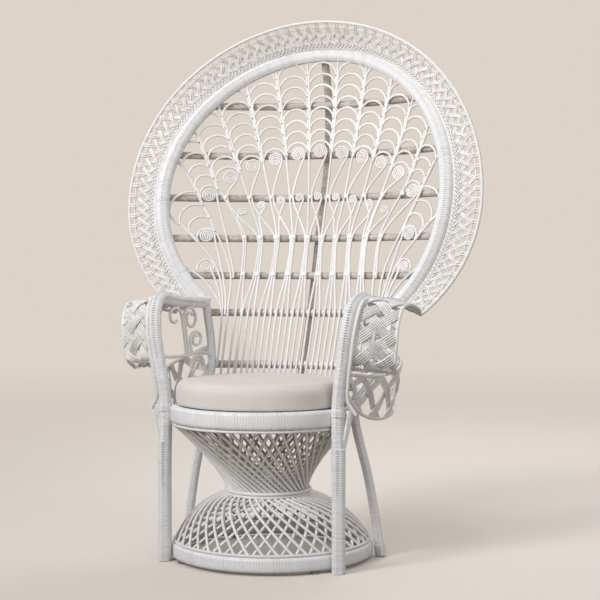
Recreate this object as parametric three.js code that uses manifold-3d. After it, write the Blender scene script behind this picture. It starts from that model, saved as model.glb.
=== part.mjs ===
import * as THREE from "three";
import { mergeVertices } from "three/addons/utils/BufferGeometryUtils.js";
import Module from "manifold-3d";

const wasm = await Module();
wasm.setup();

// Driving sizes in millimetres; +Z is up, -Y is the front, the pedestal axis stands at X 0, Y 0

const CLEARANCE = 0.3;
const POLE_RADIUS = 18.5;
const ARM_RADIUS = 16.5;
const LEG_RADIUS = 12.5;
const BAR_RADIUS = 11;
const BRACE_RADIUS = 12;
const CANE_RADIUS = 3.75;
const HOOP_RADIUS = 4.75;
const EDGE_RADIUS = 4;

// Pedestal and base

const GLIDE_HEIGHT = 6;
const GLIDE_RADIUS = 11;
const BASE_OUTER = 276;
const BASE_WIDTH = 28;
const BASE_HEIGHT = 40;
const BASE_BOTTOM = GLIDE_HEIGHT + CLEARANCE;
const BASE_TOP = BASE_BOTTOM + BASE_HEIGHT;
const WAIST_HEIGHT = 175;
const WAIST_RADIUS = 108;
const WAIST_Y = -30;
const BELL_HEIGHT = 125;
const BELL_RADIUS = 204;
const STRAND_COUNT = 20;
const UPPER_TWIST = 59;
const LOWER_TWIST = 38;

// Seat

const SEAT_Y = -75;
const SEAT_OUTER = 245;
const SEAT_WIDTH = 30;
const SEAT_HEIGHT = 46;
const SEAT_BOTTOM = 372;
const SEAT_TOP = SEAT_BOTTOM + SEAT_HEIGHT;
const DECK_THICK = 10;
const BEARER_THICK = 12;
const CUSHION_RADIUS = 236;
const CUSHION_GAP = 5;
const CUSHION_THICK = 78;

// Legs and arms, right side; the left side mirrors it

const FRONT_FOOT_ANGLE = -34.88;
const FRONT_FOOT_GAP = 1.27;
const FRONT_LEG_ANGLE = -21.1;
const FRONT_LEG_NOTCH = 3.18;
const REAR_LEG_ANGLE = 30.89;
const REAR_LEG_NOTCH = 2.31;
const REAR_FOOT = { x: 288, y: 74 };
const ARM_TOP = 700;

// Back: a fan on a cupped surface inside a round rim

const FAN_FOOT = 440;
const FAN_CENTRE = 420;
const BACK_FRONT_Y = 185;
const BACK_LEAN = 265;
const BACK_LEAN_HEIGHT = 1023;
const BACK_CUP = 0.0009;
const RIM_CENTRE = 1000;
const RIM_RADIUS = 433;
const RIM_END_ANGLE = -48;
const BORDER_DROP = 15;
const BORDER_CENTRE = RIM_CENTRE - BORDER_DROP;
const BORDER_WIDTH = 103;
const BORDER_RADIUS = RIM_RADIUS + BORDER_WIDTH;
const BORDER_END_ANGLE = -42;
const BORDER_TAPER = 38;
const BORDER_FLARE_SIDE = 10;
const BORDER_FLARE_TOP = 60;
const BORDER_COLUMNS = 30;
const BORDER_ROWS = 2;
const BORDER_SEGMENTS = 6;
const BAR_HEIGHTS = [1281, 1128, 998, 876, 765, 656, 507, 452];
const FEATHER_REACH = 7;
const FEATHER_RIM_GAP = 1.6;
const FAN_SHARE = 0.942;
const OUTER_FEATHER_RUN = { 6: 163, 7: 87 };
const OUTER_FEATHER_NECK = { 6: 95, 7: 65 };
const FEATHER_THICK = 6.4;
const ARCH_STEP = 33;
const ARCH_BAR = 6;
const ARCH_DROP = 17;

const rattanWhite = new THREE.MeshStandardMaterial({ color: 0xe2e3e4, roughness: 0.55, metalness: 0 });
const caneWhite = new THREE.MeshStandardMaterial({ color: 0xe8e2dc, roughness: 0.6, metalness: 0 });
const barGrey = new THREE.MeshStandardMaterial({ color: 0xc4bab2, roughness: 0.7, metalness: 0 });
const canvas = new THREE.MeshStandardMaterial({ color: 0xe8e3dd, roughness: 0.95, metalness: 0 });
const gliderGrey = new THREE.MeshStandardMaterial({ color: 0x8c8a88, roughness: 0.5, metalness: 0 });

const chair = new THREE.Group();
chair.name = "peacock_chair";

function radians(degrees) {
  return (degrees * Math.PI) / 180;
}

function vec(x, y, z) {
  return new THREE.Vector3(x, y, z);
}

// Legs stand clear of the base ring and cushion, against the seat ring, each let in there by a shallow notch

function beside(y, degrees, reach) {
  return { x: reach * Math.cos(radians(degrees)), y: y + reach * Math.sin(radians(degrees)) };
}

const FRONT_FOOT = beside(0, FRONT_FOOT_ANGLE, BASE_OUTER + ARM_RADIUS + FRONT_FOOT_GAP);
const legSide = (notch) => Math.max(SEAT_OUTER - notch, CUSHION_RADIUS + CUSHION_GAP);
const FRONT_LEG = beside(SEAT_Y, FRONT_LEG_ANGLE, legSide(FRONT_LEG_NOTCH) + ARM_RADIUS);
const REAR_SEAT = beside(SEAT_Y, REAR_LEG_ANGLE, legSide(REAR_LEG_NOTCH) + LEG_RADIUS);

// The feathers share out most of the angle that the rim's opening fills, seen from the fan's centre

const fanDrop = RIM_CENTRE - FAN_CENTRE;
const rimOpening = RIM_RADIUS - POLE_RADIUS - FEATHER_RIM_GAP;
const fanHalfAngle = FAN_SHARE * THREE.MathUtils.radToDeg(Math.asin(rimOpening / fanDrop));
const FEATHER_STEP = fanHalfAngle / (FEATHER_REACH + 0.5);

// Booleans work on closed meshes with shared corners

function solid(geometry) {
  const plain = geometry.clone();
  plain.deleteAttribute("normal");
  plain.deleteAttribute("uv");
  const merged = mergeVertices(plain, 1e-4);
  const mesh = new wasm.Mesh({
    numProp: 3,
    vertProperties: new Float32Array(merged.attributes.position.array),
    triVerts: new Uint32Array(merged.index.array),
  });
  return new wasm.Manifold(mesh);
}

function geometryOf(body) {
  const mesh = body.getMesh();
  const geometry = new THREE.BufferGeometry();
  geometry.setAttribute("position", new THREE.BufferAttribute(new Float32Array(mesh.vertProperties), 3));
  geometry.setIndex(new THREE.BufferAttribute(new Uint32Array(mesh.triVerts), 1));
  return geometry;
}

function largest(body) {
  const bodies = body.decompose();
  return bodies.reduce((best, next) => (next.volume() > best.volume() ? next : best));
}

function joined(geometries) {
  let body = solid(geometries[0]);
  for (const geometry of geometries.slice(1)) {
    body = body.add(solid(geometry));
  }
  return body;
}

function cutBack(body, cutters) {
  let result = body;
  for (const cutter of cutters) {
    result = result.subtract(solid(cutter));
  }
  return result;
}

function place(name, shape, material, parent = chair) {
  const geometry = shape.isBufferGeometry ? shape : geometryOf(largest(shape));
  geometry.computeVertexNormals();
  const mesh = new THREE.Mesh(geometry, material);
  mesh.name = name;
  parent.add(mesh);
  return mesh;
}

// Round bars swept along smooth curves

function curveOf(points) {
  return new THREE.CatmullRomCurve3(points, false, "centripetal");
}

function sectionOf(radius, sides) {
  const corners = [];
  for (let i = 0; i < sides; i++) {
    const angle = (2 * Math.PI * (i + 0.5)) / sides;
    corners.push(new THREE.Vector2(radius * Math.cos(angle), radius * Math.sin(angle)));
  }
  return new THREE.Shape(corners);
}

function rod(points, radius, sides, steps) {
  const path = Array.isArray(points) ? curveOf(points) : points;
  return new THREE.ExtrudeGeometry(sectionOf(radius, sides), { steps, bevelEnabled: false, extrudePath: path });
}

function hoop(ringRadius, barRadius, y, z, sides, steps) {
  const geometry = new THREE.TorusGeometry(ringRadius, barRadius, sides, steps);
  geometry.translate(0, y, z);
  return geometry;
}

// Rings of upright, softly rounded section, turned about Z

function bandRing(outer, width, bottom, height, y, grow = 0) {
  const inner = outer - width - grow;
  const edge = outer + grow;
  const low = bottom - grow;
  const high = bottom + height + grow;
  const soft = width * 0.3;
  const profile = [
    new THREE.Vector2(inner, low + soft),
    new THREE.Vector2(inner + soft, low),
    new THREE.Vector2(edge - soft, low),
    new THREE.Vector2(edge, low + soft),
    new THREE.Vector2(edge, high - soft),
    new THREE.Vector2(edge - soft, high),
    new THREE.Vector2(inner + soft, high),
    new THREE.Vector2(inner, high - soft),
    new THREE.Vector2(inner, low + soft),
  ];
  const geometry = new THREE.LatheGeometry(profile, 28);
  geometry.rotateX(Math.PI / 2);
  geometry.translate(0, y, 0);
  return geometry;
}

function disc(radius, bottom, height, y, sides) {
  const geometry = new THREE.CylinderGeometry(radius, radius, height, sides);
  geometry.rotateX(Math.PI / 2);
  geometry.translate(0, y, bottom + height / 2);
  return geometry;
}

// Woven panels: a sheet on a curved surface with one diamond opening in each cell

function panel(surface, columns, rows, thickness, open) {
  const positions = [];
  const triangles = [];
  function corner(u, v) {
    const step = 1e-3;
    const point = surface(u, v);
    const alongU = surface(u + step, v).sub(surface(u - step, v));
    const alongV = surface(u, v + step).sub(surface(u, v - step));
    const normal = alongU.cross(alongV).normalize();
    const front = point.clone().addScaledVector(normal, thickness / 2);
    const back = point.clone().addScaledVector(normal, -thickness / 2);
    positions.push(front.x, front.y, front.z, back.x, back.y, back.z);
    return positions.length / 3 - 2;
  }
  function face(a, b, c) {
    triangles.push(a, b, c);
    triangles.push(a + 1, c + 1, b + 1);
  }
  function wall(a, b) {
    triangles.push(a, b, b + 1);
    triangles.push(a, b + 1, a + 1);
  }
  const grid = [];
  for (let i = 0; i <= columns; i++) {
    grid.push([]);
    for (let j = 0; j <= rows; j++) {
      grid[i].push(corner(i / columns, j / rows));
    }
  }
  for (let i = 0; i < columns; i++) {
    for (let j = 0; j < rows; j++) {
      const [a, b, c, d] = [grid[i][j], grid[i + 1][j], grid[i + 1][j + 1], grid[i][j + 1]];
      const margin = (1 - open) / 2;
      const south = corner((i + 0.5) / columns, (j + margin) / rows);
      const east = corner((i + 1 - margin) / columns, (j + 0.5) / rows);
      const north = corner((i + 0.5) / columns, (j + 1 - margin) / rows);
      const west = corner((i + margin) / columns, (j + 0.5) / rows);
      face(a, b, south);
      face(b, east, south);
      face(b, c, east);
      face(c, north, east);
      face(c, d, north);
      face(d, west, north);
      face(d, a, west);
      face(a, south, west);
      wall(south, east);
      wall(east, north);
      wall(north, west);
      wall(west, south);
    }
  }
  for (let i = 0; i < columns; i++) {
    wall(grid[i + 1][0], grid[i][0]);
    wall(grid[i][rows], grid[i + 1][rows]);
  }
  for (let j = 0; j < rows; j++) {
    wall(grid[0][j], grid[0][j + 1]);
    wall(grid[columns][j + 1], grid[columns][j]);
  }
  const geometry = new THREE.BufferGeometry();
  geometry.setAttribute("position", new THREE.Float32BufferAttribute(positions, 3));
  geometry.setIndex(triangles);
  return geometry;
}

// The cupped back surface: depth Y at a place X, Z of the front view

function backY(x, z) {
  const rise = Math.min(1, Math.max(0, (z - FAN_CENTRE) / BACK_LEAN_HEIGHT));
  const centre = BACK_FRONT_Y + BACK_LEAN * (1 - (1 - rise) * (1 - rise));
  return centre - BACK_CUP * x * x;
}

function backPoint(x, z, behind = 0) {
  const acrossSlope = backY(x + 0.5, z) - backY(x - 0.5, z);
  const upSlope = backY(x, z + 0.5) - backY(x, z - 0.5);
  const normal = vec(-acrossSlope, 1, -upSlope).normalize();
  return vec(x, backY(x, z), z).addScaledVector(normal, behind);
}

function rimPoint(angle) {
  const x = RIM_RADIUS * Math.cos(radians(angle));
  return backPoint(x, RIM_CENTRE + RIM_RADIUS * Math.sin(radians(angle)));
}

function borderPoint(angle, poleAngle) {
  const pole = rimPoint(poleAngle);
  const lift = Math.sin(radians(angle));
  const below = Math.max(0, lift / Math.sin(radians(BORDER_END_ANGLE)));
  const radius = BORDER_RADIUS - BORDER_TAPER * below * below;
  const x = radius * Math.cos(radians(angle));
  const z = BORDER_CENTRE + radius * lift;
  return vec(x, pole.y - BORDER_FLARE_SIDE - BORDER_FLARE_TOP * lift * lift, z);
}

// Base, waist and seat rings

place("base_ring", bandRing(BASE_OUTER, BASE_WIDTH, BASE_BOTTOM, BASE_HEIGHT, 0), rattanWhite);
const baseHoopZ = BASE_TOP + CANE_RADIUS + CLEARANCE;
const baseHoopRadius = BASE_OUTER - BASE_WIDTH / 2;
place("base_top_hoop", hoop(baseHoopRadius, CANE_RADIUS, 0, baseHoopZ, 4, 32), caneWhite);
for (let i = 0; i < 4; i++) {
  const angle = radians(45 + 90 * i);
  const glide = disc(GLIDE_RADIUS, 0, GLIDE_HEIGHT, 0, 10);
  glide.translate(baseHoopRadius * Math.cos(angle), baseHoopRadius * Math.sin(angle), 0);
  place("base_glide_" + (i + 1), glide, gliderGrey);
}
place("seat_ring", bandRing(SEAT_OUTER, SEAT_WIDTH, SEAT_BOTTOM, SEAT_HEIGHT, SEAT_Y), rattanWhite);
const seatHoopZ = SEAT_BOTTOM - CANE_RADIUS - CLEARANCE;
const seatHoopRadius = SEAT_OUTER - SEAT_WIDTH / 2;
place("seat_under_hoop", hoop(seatHoopRadius, CANE_RADIUS, SEAT_Y, seatHoopZ, 4, 32), caneWhite);

// Pedestal strands: two crossing sets of twisted canes, each bound to a hoop at the waist

const strandTop = seatHoopZ - 3.9;
const strandFoot = baseHoopZ + 3.9;
const strandGap = CANE_RADIUS + 3.3;

function strandPath(turn, twist, shift) {
  const stations = [
    [strandTop, seatHoopRadius, SEAT_Y, 0, 0.95, -0.4],
    [WAIST_HEIGHT, WAIST_RADIUS - strandGap, WAIST_Y, UPPER_TWIST, 1, 0.35],
    [BELL_HEIGHT, BELL_RADIUS, WAIST_Y / 2, UPPER_TWIST + LOWER_TWIST * 0.5, 0.62, 0.82],
    [strandFoot, baseHoopRadius, 0, UPPER_TWIST + LOWER_TWIST, 0.8, 0],
  ];
  return stations.map(([z, radius, y, degrees, outward, upward]) => {
    const angle = turn + twist * radians(degrees);
    const reach = radius + shift * outward;
    return vec(reach * Math.cos(angle), y + reach * Math.sin(angle), z + shift * upward);
  });
}

class Polyline extends THREE.CurvePath {
  constructor(points) {
    super();
    for (let i = 0; i + 1 < points.length; i++) {
      this.add(new THREE.LineCurve3(points[i], points[i + 1]));
    }
    this.corners = points;
  }
  getSpacedPoints() {
    return this.corners.map((point) => point.clone());
  }
  getTangentAt(t) {
    const last = this.corners.length - 1;
    const index = Math.round(t * last);
    const before = this.corners[Math.max(0, index - 1)];
    const after = this.corners[Math.min(last, index + 1)];
    return after.clone().sub(before).normalize();
  }
}

function strandSet(twist, shift, waistRings) {
  const pieces = [...waistRings];
  for (let i = 0; i < STRAND_COUNT; i++) {
    const path = new Polyline(strandPath((2 * Math.PI * i) / STRAND_COUNT, twist, shift));
    pieces.push(rod(path, CANE_RADIUS + 0.4, 3, path.corners.length - 1));
  }
  return joined(pieces);
}

const waistRing = (radius, z) => hoop(radius, HOOP_RADIUS, WAIST_Y, z, 4, 26);
const ringLevels = [WAIST_HEIGHT + 6];
const outerRings = ringLevels.map((z) => waistRing(WAIST_RADIUS + HOOP_RADIUS + 0.5, z));
const innerRings = [waistRing(WAIST_RADIUS - 2 * strandGap - 1, WAIST_HEIGHT - 2)];
place("pedestal_strands_outer", strandSet(1, strandGap, outerRings), caneWhite);
place("pedestal_strands_inner", strandSet(-1, -strandGap, innerRings), caneWhite);

// Seat deck on a cross bearer, and the loose cushion

const bearerBottom = SEAT_TOP - DECK_THICK - BEARER_THICK - 2 * CLEARANCE;
const seatInner = SEAT_OUTER - SEAT_WIDTH;
const bearer = new THREE.BoxGeometry(2 * seatInner + 12, 46, BEARER_THICK);
bearer.translate(0, SEAT_Y, bearerBottom + BEARER_THICK / 2);
const ringGrown = bandRing(SEAT_OUTER, SEAT_WIDTH, SEAT_BOTTOM, SEAT_HEIGHT, SEAT_Y, CLEARANCE);
place("seat_bearer", cutBack(solid(bearer), [ringGrown]), barGrey);
const deckFoot = SEAT_TOP - DECK_THICK - CLEARANCE;
const deckSlots = [];
for (let i = -2; i <= 2; i++) {
  const slot = new THREE.BoxGeometry(22, 320 - 40 * Math.abs(i), 3 * DECK_THICK);
  slot.translate(66 * i, SEAT_Y, deckFoot);
  deckSlots.push(slot);
}
const deck = cutBack(solid(disc(seatInner - 2.2, deckFoot, DECK_THICK, SEAT_Y, 36)), deckSlots);
place("seat_deck", deck, barGrey);
const cushionFoot = SEAT_TOP + CLEARANCE;
const cushionProfile = [
  [0, 0], [0.88, 0], [0.955, 0.05], [0.99, 0.2], [1, 0.47], [0.99, 0.74], [0.955, 0.9], [0.86, 0.97],
  [0.45, 1], [0, 1.01],
].map(([r, h]) => new THREE.Vector2(r * CUSHION_RADIUS, h * CUSHION_THICK));
const cushion = new THREE.LatheGeometry(cushionProfile, 32);
cushion.rotateX(Math.PI / 2);
cushion.translate(0, SEAT_Y, cushionFoot);
place("seat_cushion", cushion, canvas);

// Rim pole, border and centre brace

function rimPath() {
  const points = [];
  for (let i = 0; i <= 44; i++) {
    points.push(rimPoint(RIM_END_ANGLE + ((180 - 2 * RIM_END_ANGLE) * i) / 44));
  }
  return curveOf(points);
}

const rimRod = rod(rimPath(), POLE_RADIUS, 6, 38);
const rimGrown = rod(rimPath(), POLE_RADIUS + CLEARANCE, 6, 38);
place("back_rim_pole", rimRod, rattanWhite);

const borderCorners = [];
const borderSteps = BORDER_COLUMNS;
for (let i = 0; i <= borderSteps; i++) {
  const angle = BORDER_END_ANGLE + ((180 - 2 * BORDER_END_ANGLE) * i) / borderSteps;
  const poleAngle = RIM_END_ANGLE + ((180 - 2 * RIM_END_ANGLE) * i) / borderSteps;
  borderCorners.push(borderPoint(angle, poleAngle));
}
const borderPath = curveOf(borderCorners);
place("border_outer_rod", rod(borderPath, EDGE_RADIUS, 4, borderSteps), caneWhite);

function borderSurface(s, v) {
  const at = Math.min(1, Math.max(0, s));
  const pole = rimPoint(RIM_END_ANGLE + (180 - 2 * RIM_END_ANGLE) * s);
  const edge = borderPath.getPointAt(at);
  const reach = edge.clone().sub(pole);
  const width = reach.length();
  const along = rimPoint(RIM_END_ANGLE + (180 - 2 * RIM_END_ANGLE) * (s + 0.004)).sub(pole).normalize();
  const slant = Math.abs(along.dot(reach) / width);
  const from = (POLE_RADIUS + 1.1) / Math.sqrt(1 - slant * slant);
  const to = width - EDGE_RADIUS - 0.45;
  return pole.addScaledVector(reach.normalize(), from + (to - from) * v);
}

for (let i = 0; i < BORDER_SEGMENTS; i++) {
  const share = 1 / BORDER_SEGMENTS;
  const trim = 0.0003;
  const surface = (u, v) => borderSurface(share * i + trim + (share - 2 * trim) * u, v);
  const lattice = panel(surface, BORDER_COLUMNS / BORDER_SEGMENTS, BORDER_ROWS, 6, 0.66);
  place("border_lattice_" + (i + 1), lattice, caneWhite);
}

// Side pieces, built for the right side and mirrored for the left; arm, leg and wing end at the rim and border

const rimEnd = rimPoint(RIM_END_ANGLE);
const borderEnd = borderPoint(BORDER_END_ANGLE, RIM_END_ANGLE);
const nearRim = (x, y, z) => vec(rimEnd.x + x, rimEnd.y + y, rimEnd.z + z);
const armPoints = [
  vec(FRONT_FOOT.x, FRONT_FOOT.y, 0),
  vec((FRONT_FOOT.x + FRONT_LEG.x) / 2, (FRONT_FOOT.y + FRONT_LEG.y) / 2, (SEAT_TOP + 12) / 2),
  vec(FRONT_LEG.x, FRONT_LEG.y, SEAT_TOP + 12),
  vec(257, -176, 545),
  vec(267, -176, 622),
  vec(274, -155, 676),
  vec(281, -108, ARM_TOP),
  vec(289, -20, ARM_TOP - 8),
  nearRim(4.3, -136.4, 6.8),
  nearRim(4.3, -66.4, 3.8),
  nearRim(2.3, -4.4, 3.8),
];
const armRod = (grow) => rod(armPoints, ARM_RADIUS + grow, 6, 20);
const legPoints = [
  vec(REAR_FOOT.x + 1.6, REAR_FOOT.y + 0.4, -10),
  vec(257, 66, 200),
  vec(REAR_SEAT.x, REAR_SEAT.y, SEAT_BOTTOM),
  vec(REAR_SEAT.x, REAR_SEAT.y, SEAT_TOP),
  vec(238, 132, 475),
  vec(254, 182, 515),
  vec(274, 214, 600),
  nearRim(-3.7, -4.4, -28.2),
  nearRim(0.3, -0.4, -5.2),
];
const legRod = (grow) => rod(legPoints, LEG_RADIUS + grow, 6, 14);
const floorBlock = new THREE.BoxGeometry(1400, 1400, 60);
floorBlock.translate(0, 0, -30);
const lowArch = [vec(255, -170, 545), vec(262, -80, 538), vec(264, 20, 536), vec(262, 120, 540), vec(258, 182, 528)];

const wingInner = curveOf([
  nearRim(12.3, -51.4, 7.8),
  nearRim(13.3, -166.4, 15.8),
  vec(296, -40, ARM_TOP - 1),
  vec(288, -120, ARM_TOP),
  vec(282, -160, 665),
  vec(276, -180, 610),
  vec(268, -176, 550),
  vec(264, -140, 515),
]);
const wingOuter = curveOf([
  vec(borderEnd.x, borderEnd.y - 5.1, borderEnd.z - 0.2),
  vec(borderEnd.x + 24, 60, borderEnd.z + 20),
  vec(borderEnd.x + 26, -40, borderEnd.z + 32),
  vec(borderEnd.x + 22, -95, borderEnd.z + 24),
  vec(borderEnd.x + 18, -122, 640),
  vec(borderEnd.x + 14, -128, 580),
  vec(borderEnd.x + 8, -118, 530),
  vec(borderEnd.x, -85, 506),
]);
const apronTop = curveOf([
  vec(256, -158, 508),
  vec(300, -40, 496),
  vec(334, 60, 505),
  vec(316, 165, 530),
  vec(268, 200, 556),
]);
const apronFoot = curveOf([
  vec(252, -162, 476),
  vec(276, -90, 404),
  vec(306, 20, 380),
  vec(314, 105, 398),
  vec(276, 156, 462),
  vec(242, 137, 482),
]);

function ruled(inner, outer, from, to) {
  return (u, v) => {
    const at = Math.min(1, Math.max(0, u));
    const start = inner.getPointAt(at);
    const reach = outer.getPointAt(at).sub(start);
    const width = reach.length();
    const distance = from + (width - from - to) * v;
    return start.addScaledVector(reach.normalize(), distance);
  };
}

function scroll(centre, radius, turns, start, across) {
  const points = [];
  for (let i = 0; i <= 10; i++) {
    const share = i / 10;
    const angle = radians(start + 360 * turns * share);
    const reach = radius * (1 - 0.55 * share);
    const rise = centre.z + reach * Math.sin(angle);
    points.push(vec(centre.x + (rise - centre.z) * across, centre.y + reach * Math.cos(angle), rise));
  }
  return points;
}

for (const side of ["right", "left"]) {
  const group = new THREE.Group();
  group.name = side + "_side";
  group.scale.x = side === "right" ? 1 : -1;
  chair.add(group);
  const arm = cutBack(solid(armRod(0)), [rimGrown, ringGrown]);
  place(side + "_arm_pole", arm, rattanWhite, group);
  const leg = cutBack(solid(legRod(0)), [rimGrown, ringGrown, armRod(CLEARANCE), floorBlock]);
  place(side + "_rear_leg", leg, rattanWhite, group);
  const ear = panel(ruled(wingInner, wingOuter, 0, EDGE_RADIUS + 0.45), 8, 2, 6, 0.6);
  const earCut = [armRod(CLEARANCE), rod(wingOuter, EDGE_RADIUS + CLEARANCE, 4, 16)];
  place(side + "_wing_weave", cutBack(solid(ear), earCut), caneWhite, group);
  place(side + "_wing_rod", rod(wingOuter, EDGE_RADIUS, 4, 16), caneWhite, group);
  const apron = panel(ruled(apronTop, apronFoot, 0, EDGE_RADIUS + 0.45), 7, 2, 6, 0.6);
  const apronCut = [armRod(CLEARANCE), legRod(CLEARANCE), rod(lowArch, CANE_RADIUS + CLEARANCE, 4, 5)];
  const apronEdge = rod(apronFoot, EDGE_RADIUS + CLEARANCE, 4, 14);
  place(side + "_apron_weave", cutBack(solid(apron), [...apronCut, apronEdge]), caneWhite, group);
  place(side + "_apron_rod", cutBack(solid(rod(apronFoot, EDGE_RADIUS, 4, 14)), apronCut), caneWhite, group);
  const front = [vec(264, 22, 537), vec(274, 20, 620), ...scroll(vec(277, -32, 640), 48, 0.9, 0, 0.05).slice(1)];
  const rear = [vec(264, 34, 537), vec(274, 36, 625), ...scroll(vec(278, 80, 640), 44, -0.9, 180, 0.05).slice(1)];
  const curl = [vec(263, 120, 541), vec(265, 146, 552), ...scroll(vec(266, 148, 572), 20, 0.9, 0, 0.03).slice(1)];
  const infill = joined([
    rod(lowArch, CANE_RADIUS, 4, 5),
    rod(front, CANE_RADIUS, 4, 10),
    rod(rear, CANE_RADIUS, 4, 10),
    rod(curl, CANE_RADIUS, 4, 8),
  ]);
  place(side + "_arm_scroll", cutBack(infill, [armRod(CLEARANCE), legRod(CLEARANCE), rimGrown]), caneWhite, group);
}

// Crossbars behind the fan

const barOffset = FEATHER_THICK / 2 + BAR_RADIUS + 1.4;

function barEnd(z) {
  const rise = z - RIM_CENTRE;
  if (z > rimEnd.z + BAR_RADIUS) {
    return Math.sqrt(RIM_RADIUS * RIM_RADIUS - rise * rise) - 4;
  }
  const passed = legPoints.filter((point) => point.z <= z).length;
  const above = Math.min(passed, legPoints.length - 1);
  const [low, high] = [legPoints[above - 1], legPoints[above]];
  return low.x + ((high.x - low.x) * (z - low.z)) / (high.z - low.z);
}

function barPoints(z) {
  const points = [];
  if (z === BAR_HEIGHTS[7]) {
    for (const x of [-200, -150, -100, -50, 0, 50, 100, 150, 200]) {
      points.push(backPoint(x, z, barOffset));
    }
    return [vec(-230, 102, z + 2), ...points, vec(230, 102, z + 2)];
  }
  const reach = barEnd(z);
  for (let i = -8; i <= 8; i++) {
    const x = (reach * i) / 8;
    points.push(backPoint(x, z, z === BAR_HEIGHTS[6] ? barOffset - 2.2 : barOffset));
  }
  return points;
}

const legCutters = [solid(legRod(CLEARANCE)), solid(legRod(CLEARANCE)).mirror([1, 0, 0])];
const barGrown = [];
BAR_HEIGHTS.forEach((z, index) => {
  const bar = solid(rod(barPoints(z), BAR_RADIUS, 5, 12));
  let trimmed = bar.subtract(solid(rimGrown));
  for (const cutter of legCutters) {
    trimmed = trimmed.subtract(cutter);
  }
  place("back_crossbar_" + (index + 1), trimmed, barGrey);
  barGrown.push(rod(barPoints(z), BAR_RADIUS + CLEARANCE, 5, 12));
});

const rimTop = RIM_CENTRE + RIM_RADIUS;
const behindBack = (z, behind) => vec(0, backY(0, z) + behind, z);
const bracePoints = [
  behindBack(rimTop - 8, 16),
  behindBack(rimTop - 53, 37),
  behindBack(rimTop - 123, 58.5),
  behindBack(rimTop - 193, 70.4),
  behindBack(1100, 76),
  behindBack(930, 46),
  behindBack(740, 42),
  behindBack(545, 38),
  behindBack(BAR_HEIGHTS[7], 38),
  vec(0, BACK_FRONT_Y + 29, 400),
];
const brace = solid(rod(bracePoints, BRACE_RADIUS, 6, 14));
place("centre_brace", cutBack(brace, [rimGrown, ...barGrown]), rattanWhite);

// Feathers: a ladder of nested arches, a scroll disc and a stem of two strands, laid on the back

function polar(r, degrees) {
  const angle = radians(degrees);
  return new THREE.Vector2(r * Math.sin(angle), FAN_CENTRE + r * Math.cos(angle));
}

function rimReach(degrees) {
  const across = fanDrop * Math.sin(radians(degrees));
  return fanDrop * Math.cos(radians(degrees)) + Math.sqrt(Math.max(0, rimOpening * rimOpening - across * across));
}

function featherPlan(j) {
  const size = Math.abs(j);
  const centre = FEATHER_STEP * j * (size === 7 ? 1.02 : 1);
  const shortest = rimReach(Math.abs(centre) + FEATHER_STEP / 2);
  const lowest = size > 5 ? shortest - OUTER_FEATHER_RUN[size] : 690 - 10 * size;
  const split = size > 5 ? lowest - OUTER_FEATHER_NECK[size] : BAR_HEIGHTS[3] - FAN_CENTRE;
  const foot = size === 7 ? 228 : size === 6 ? 208 : 36 * size;
  const footZ = size > 5 ? BAR_HEIGHTS[6] - BAR_RADIUS : FAN_FOOT;
  return { centre, lowest, split, footZ, foot: Math.sign(j) * foot, strands: size > 5 ? 1 : 2 };
}

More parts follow.
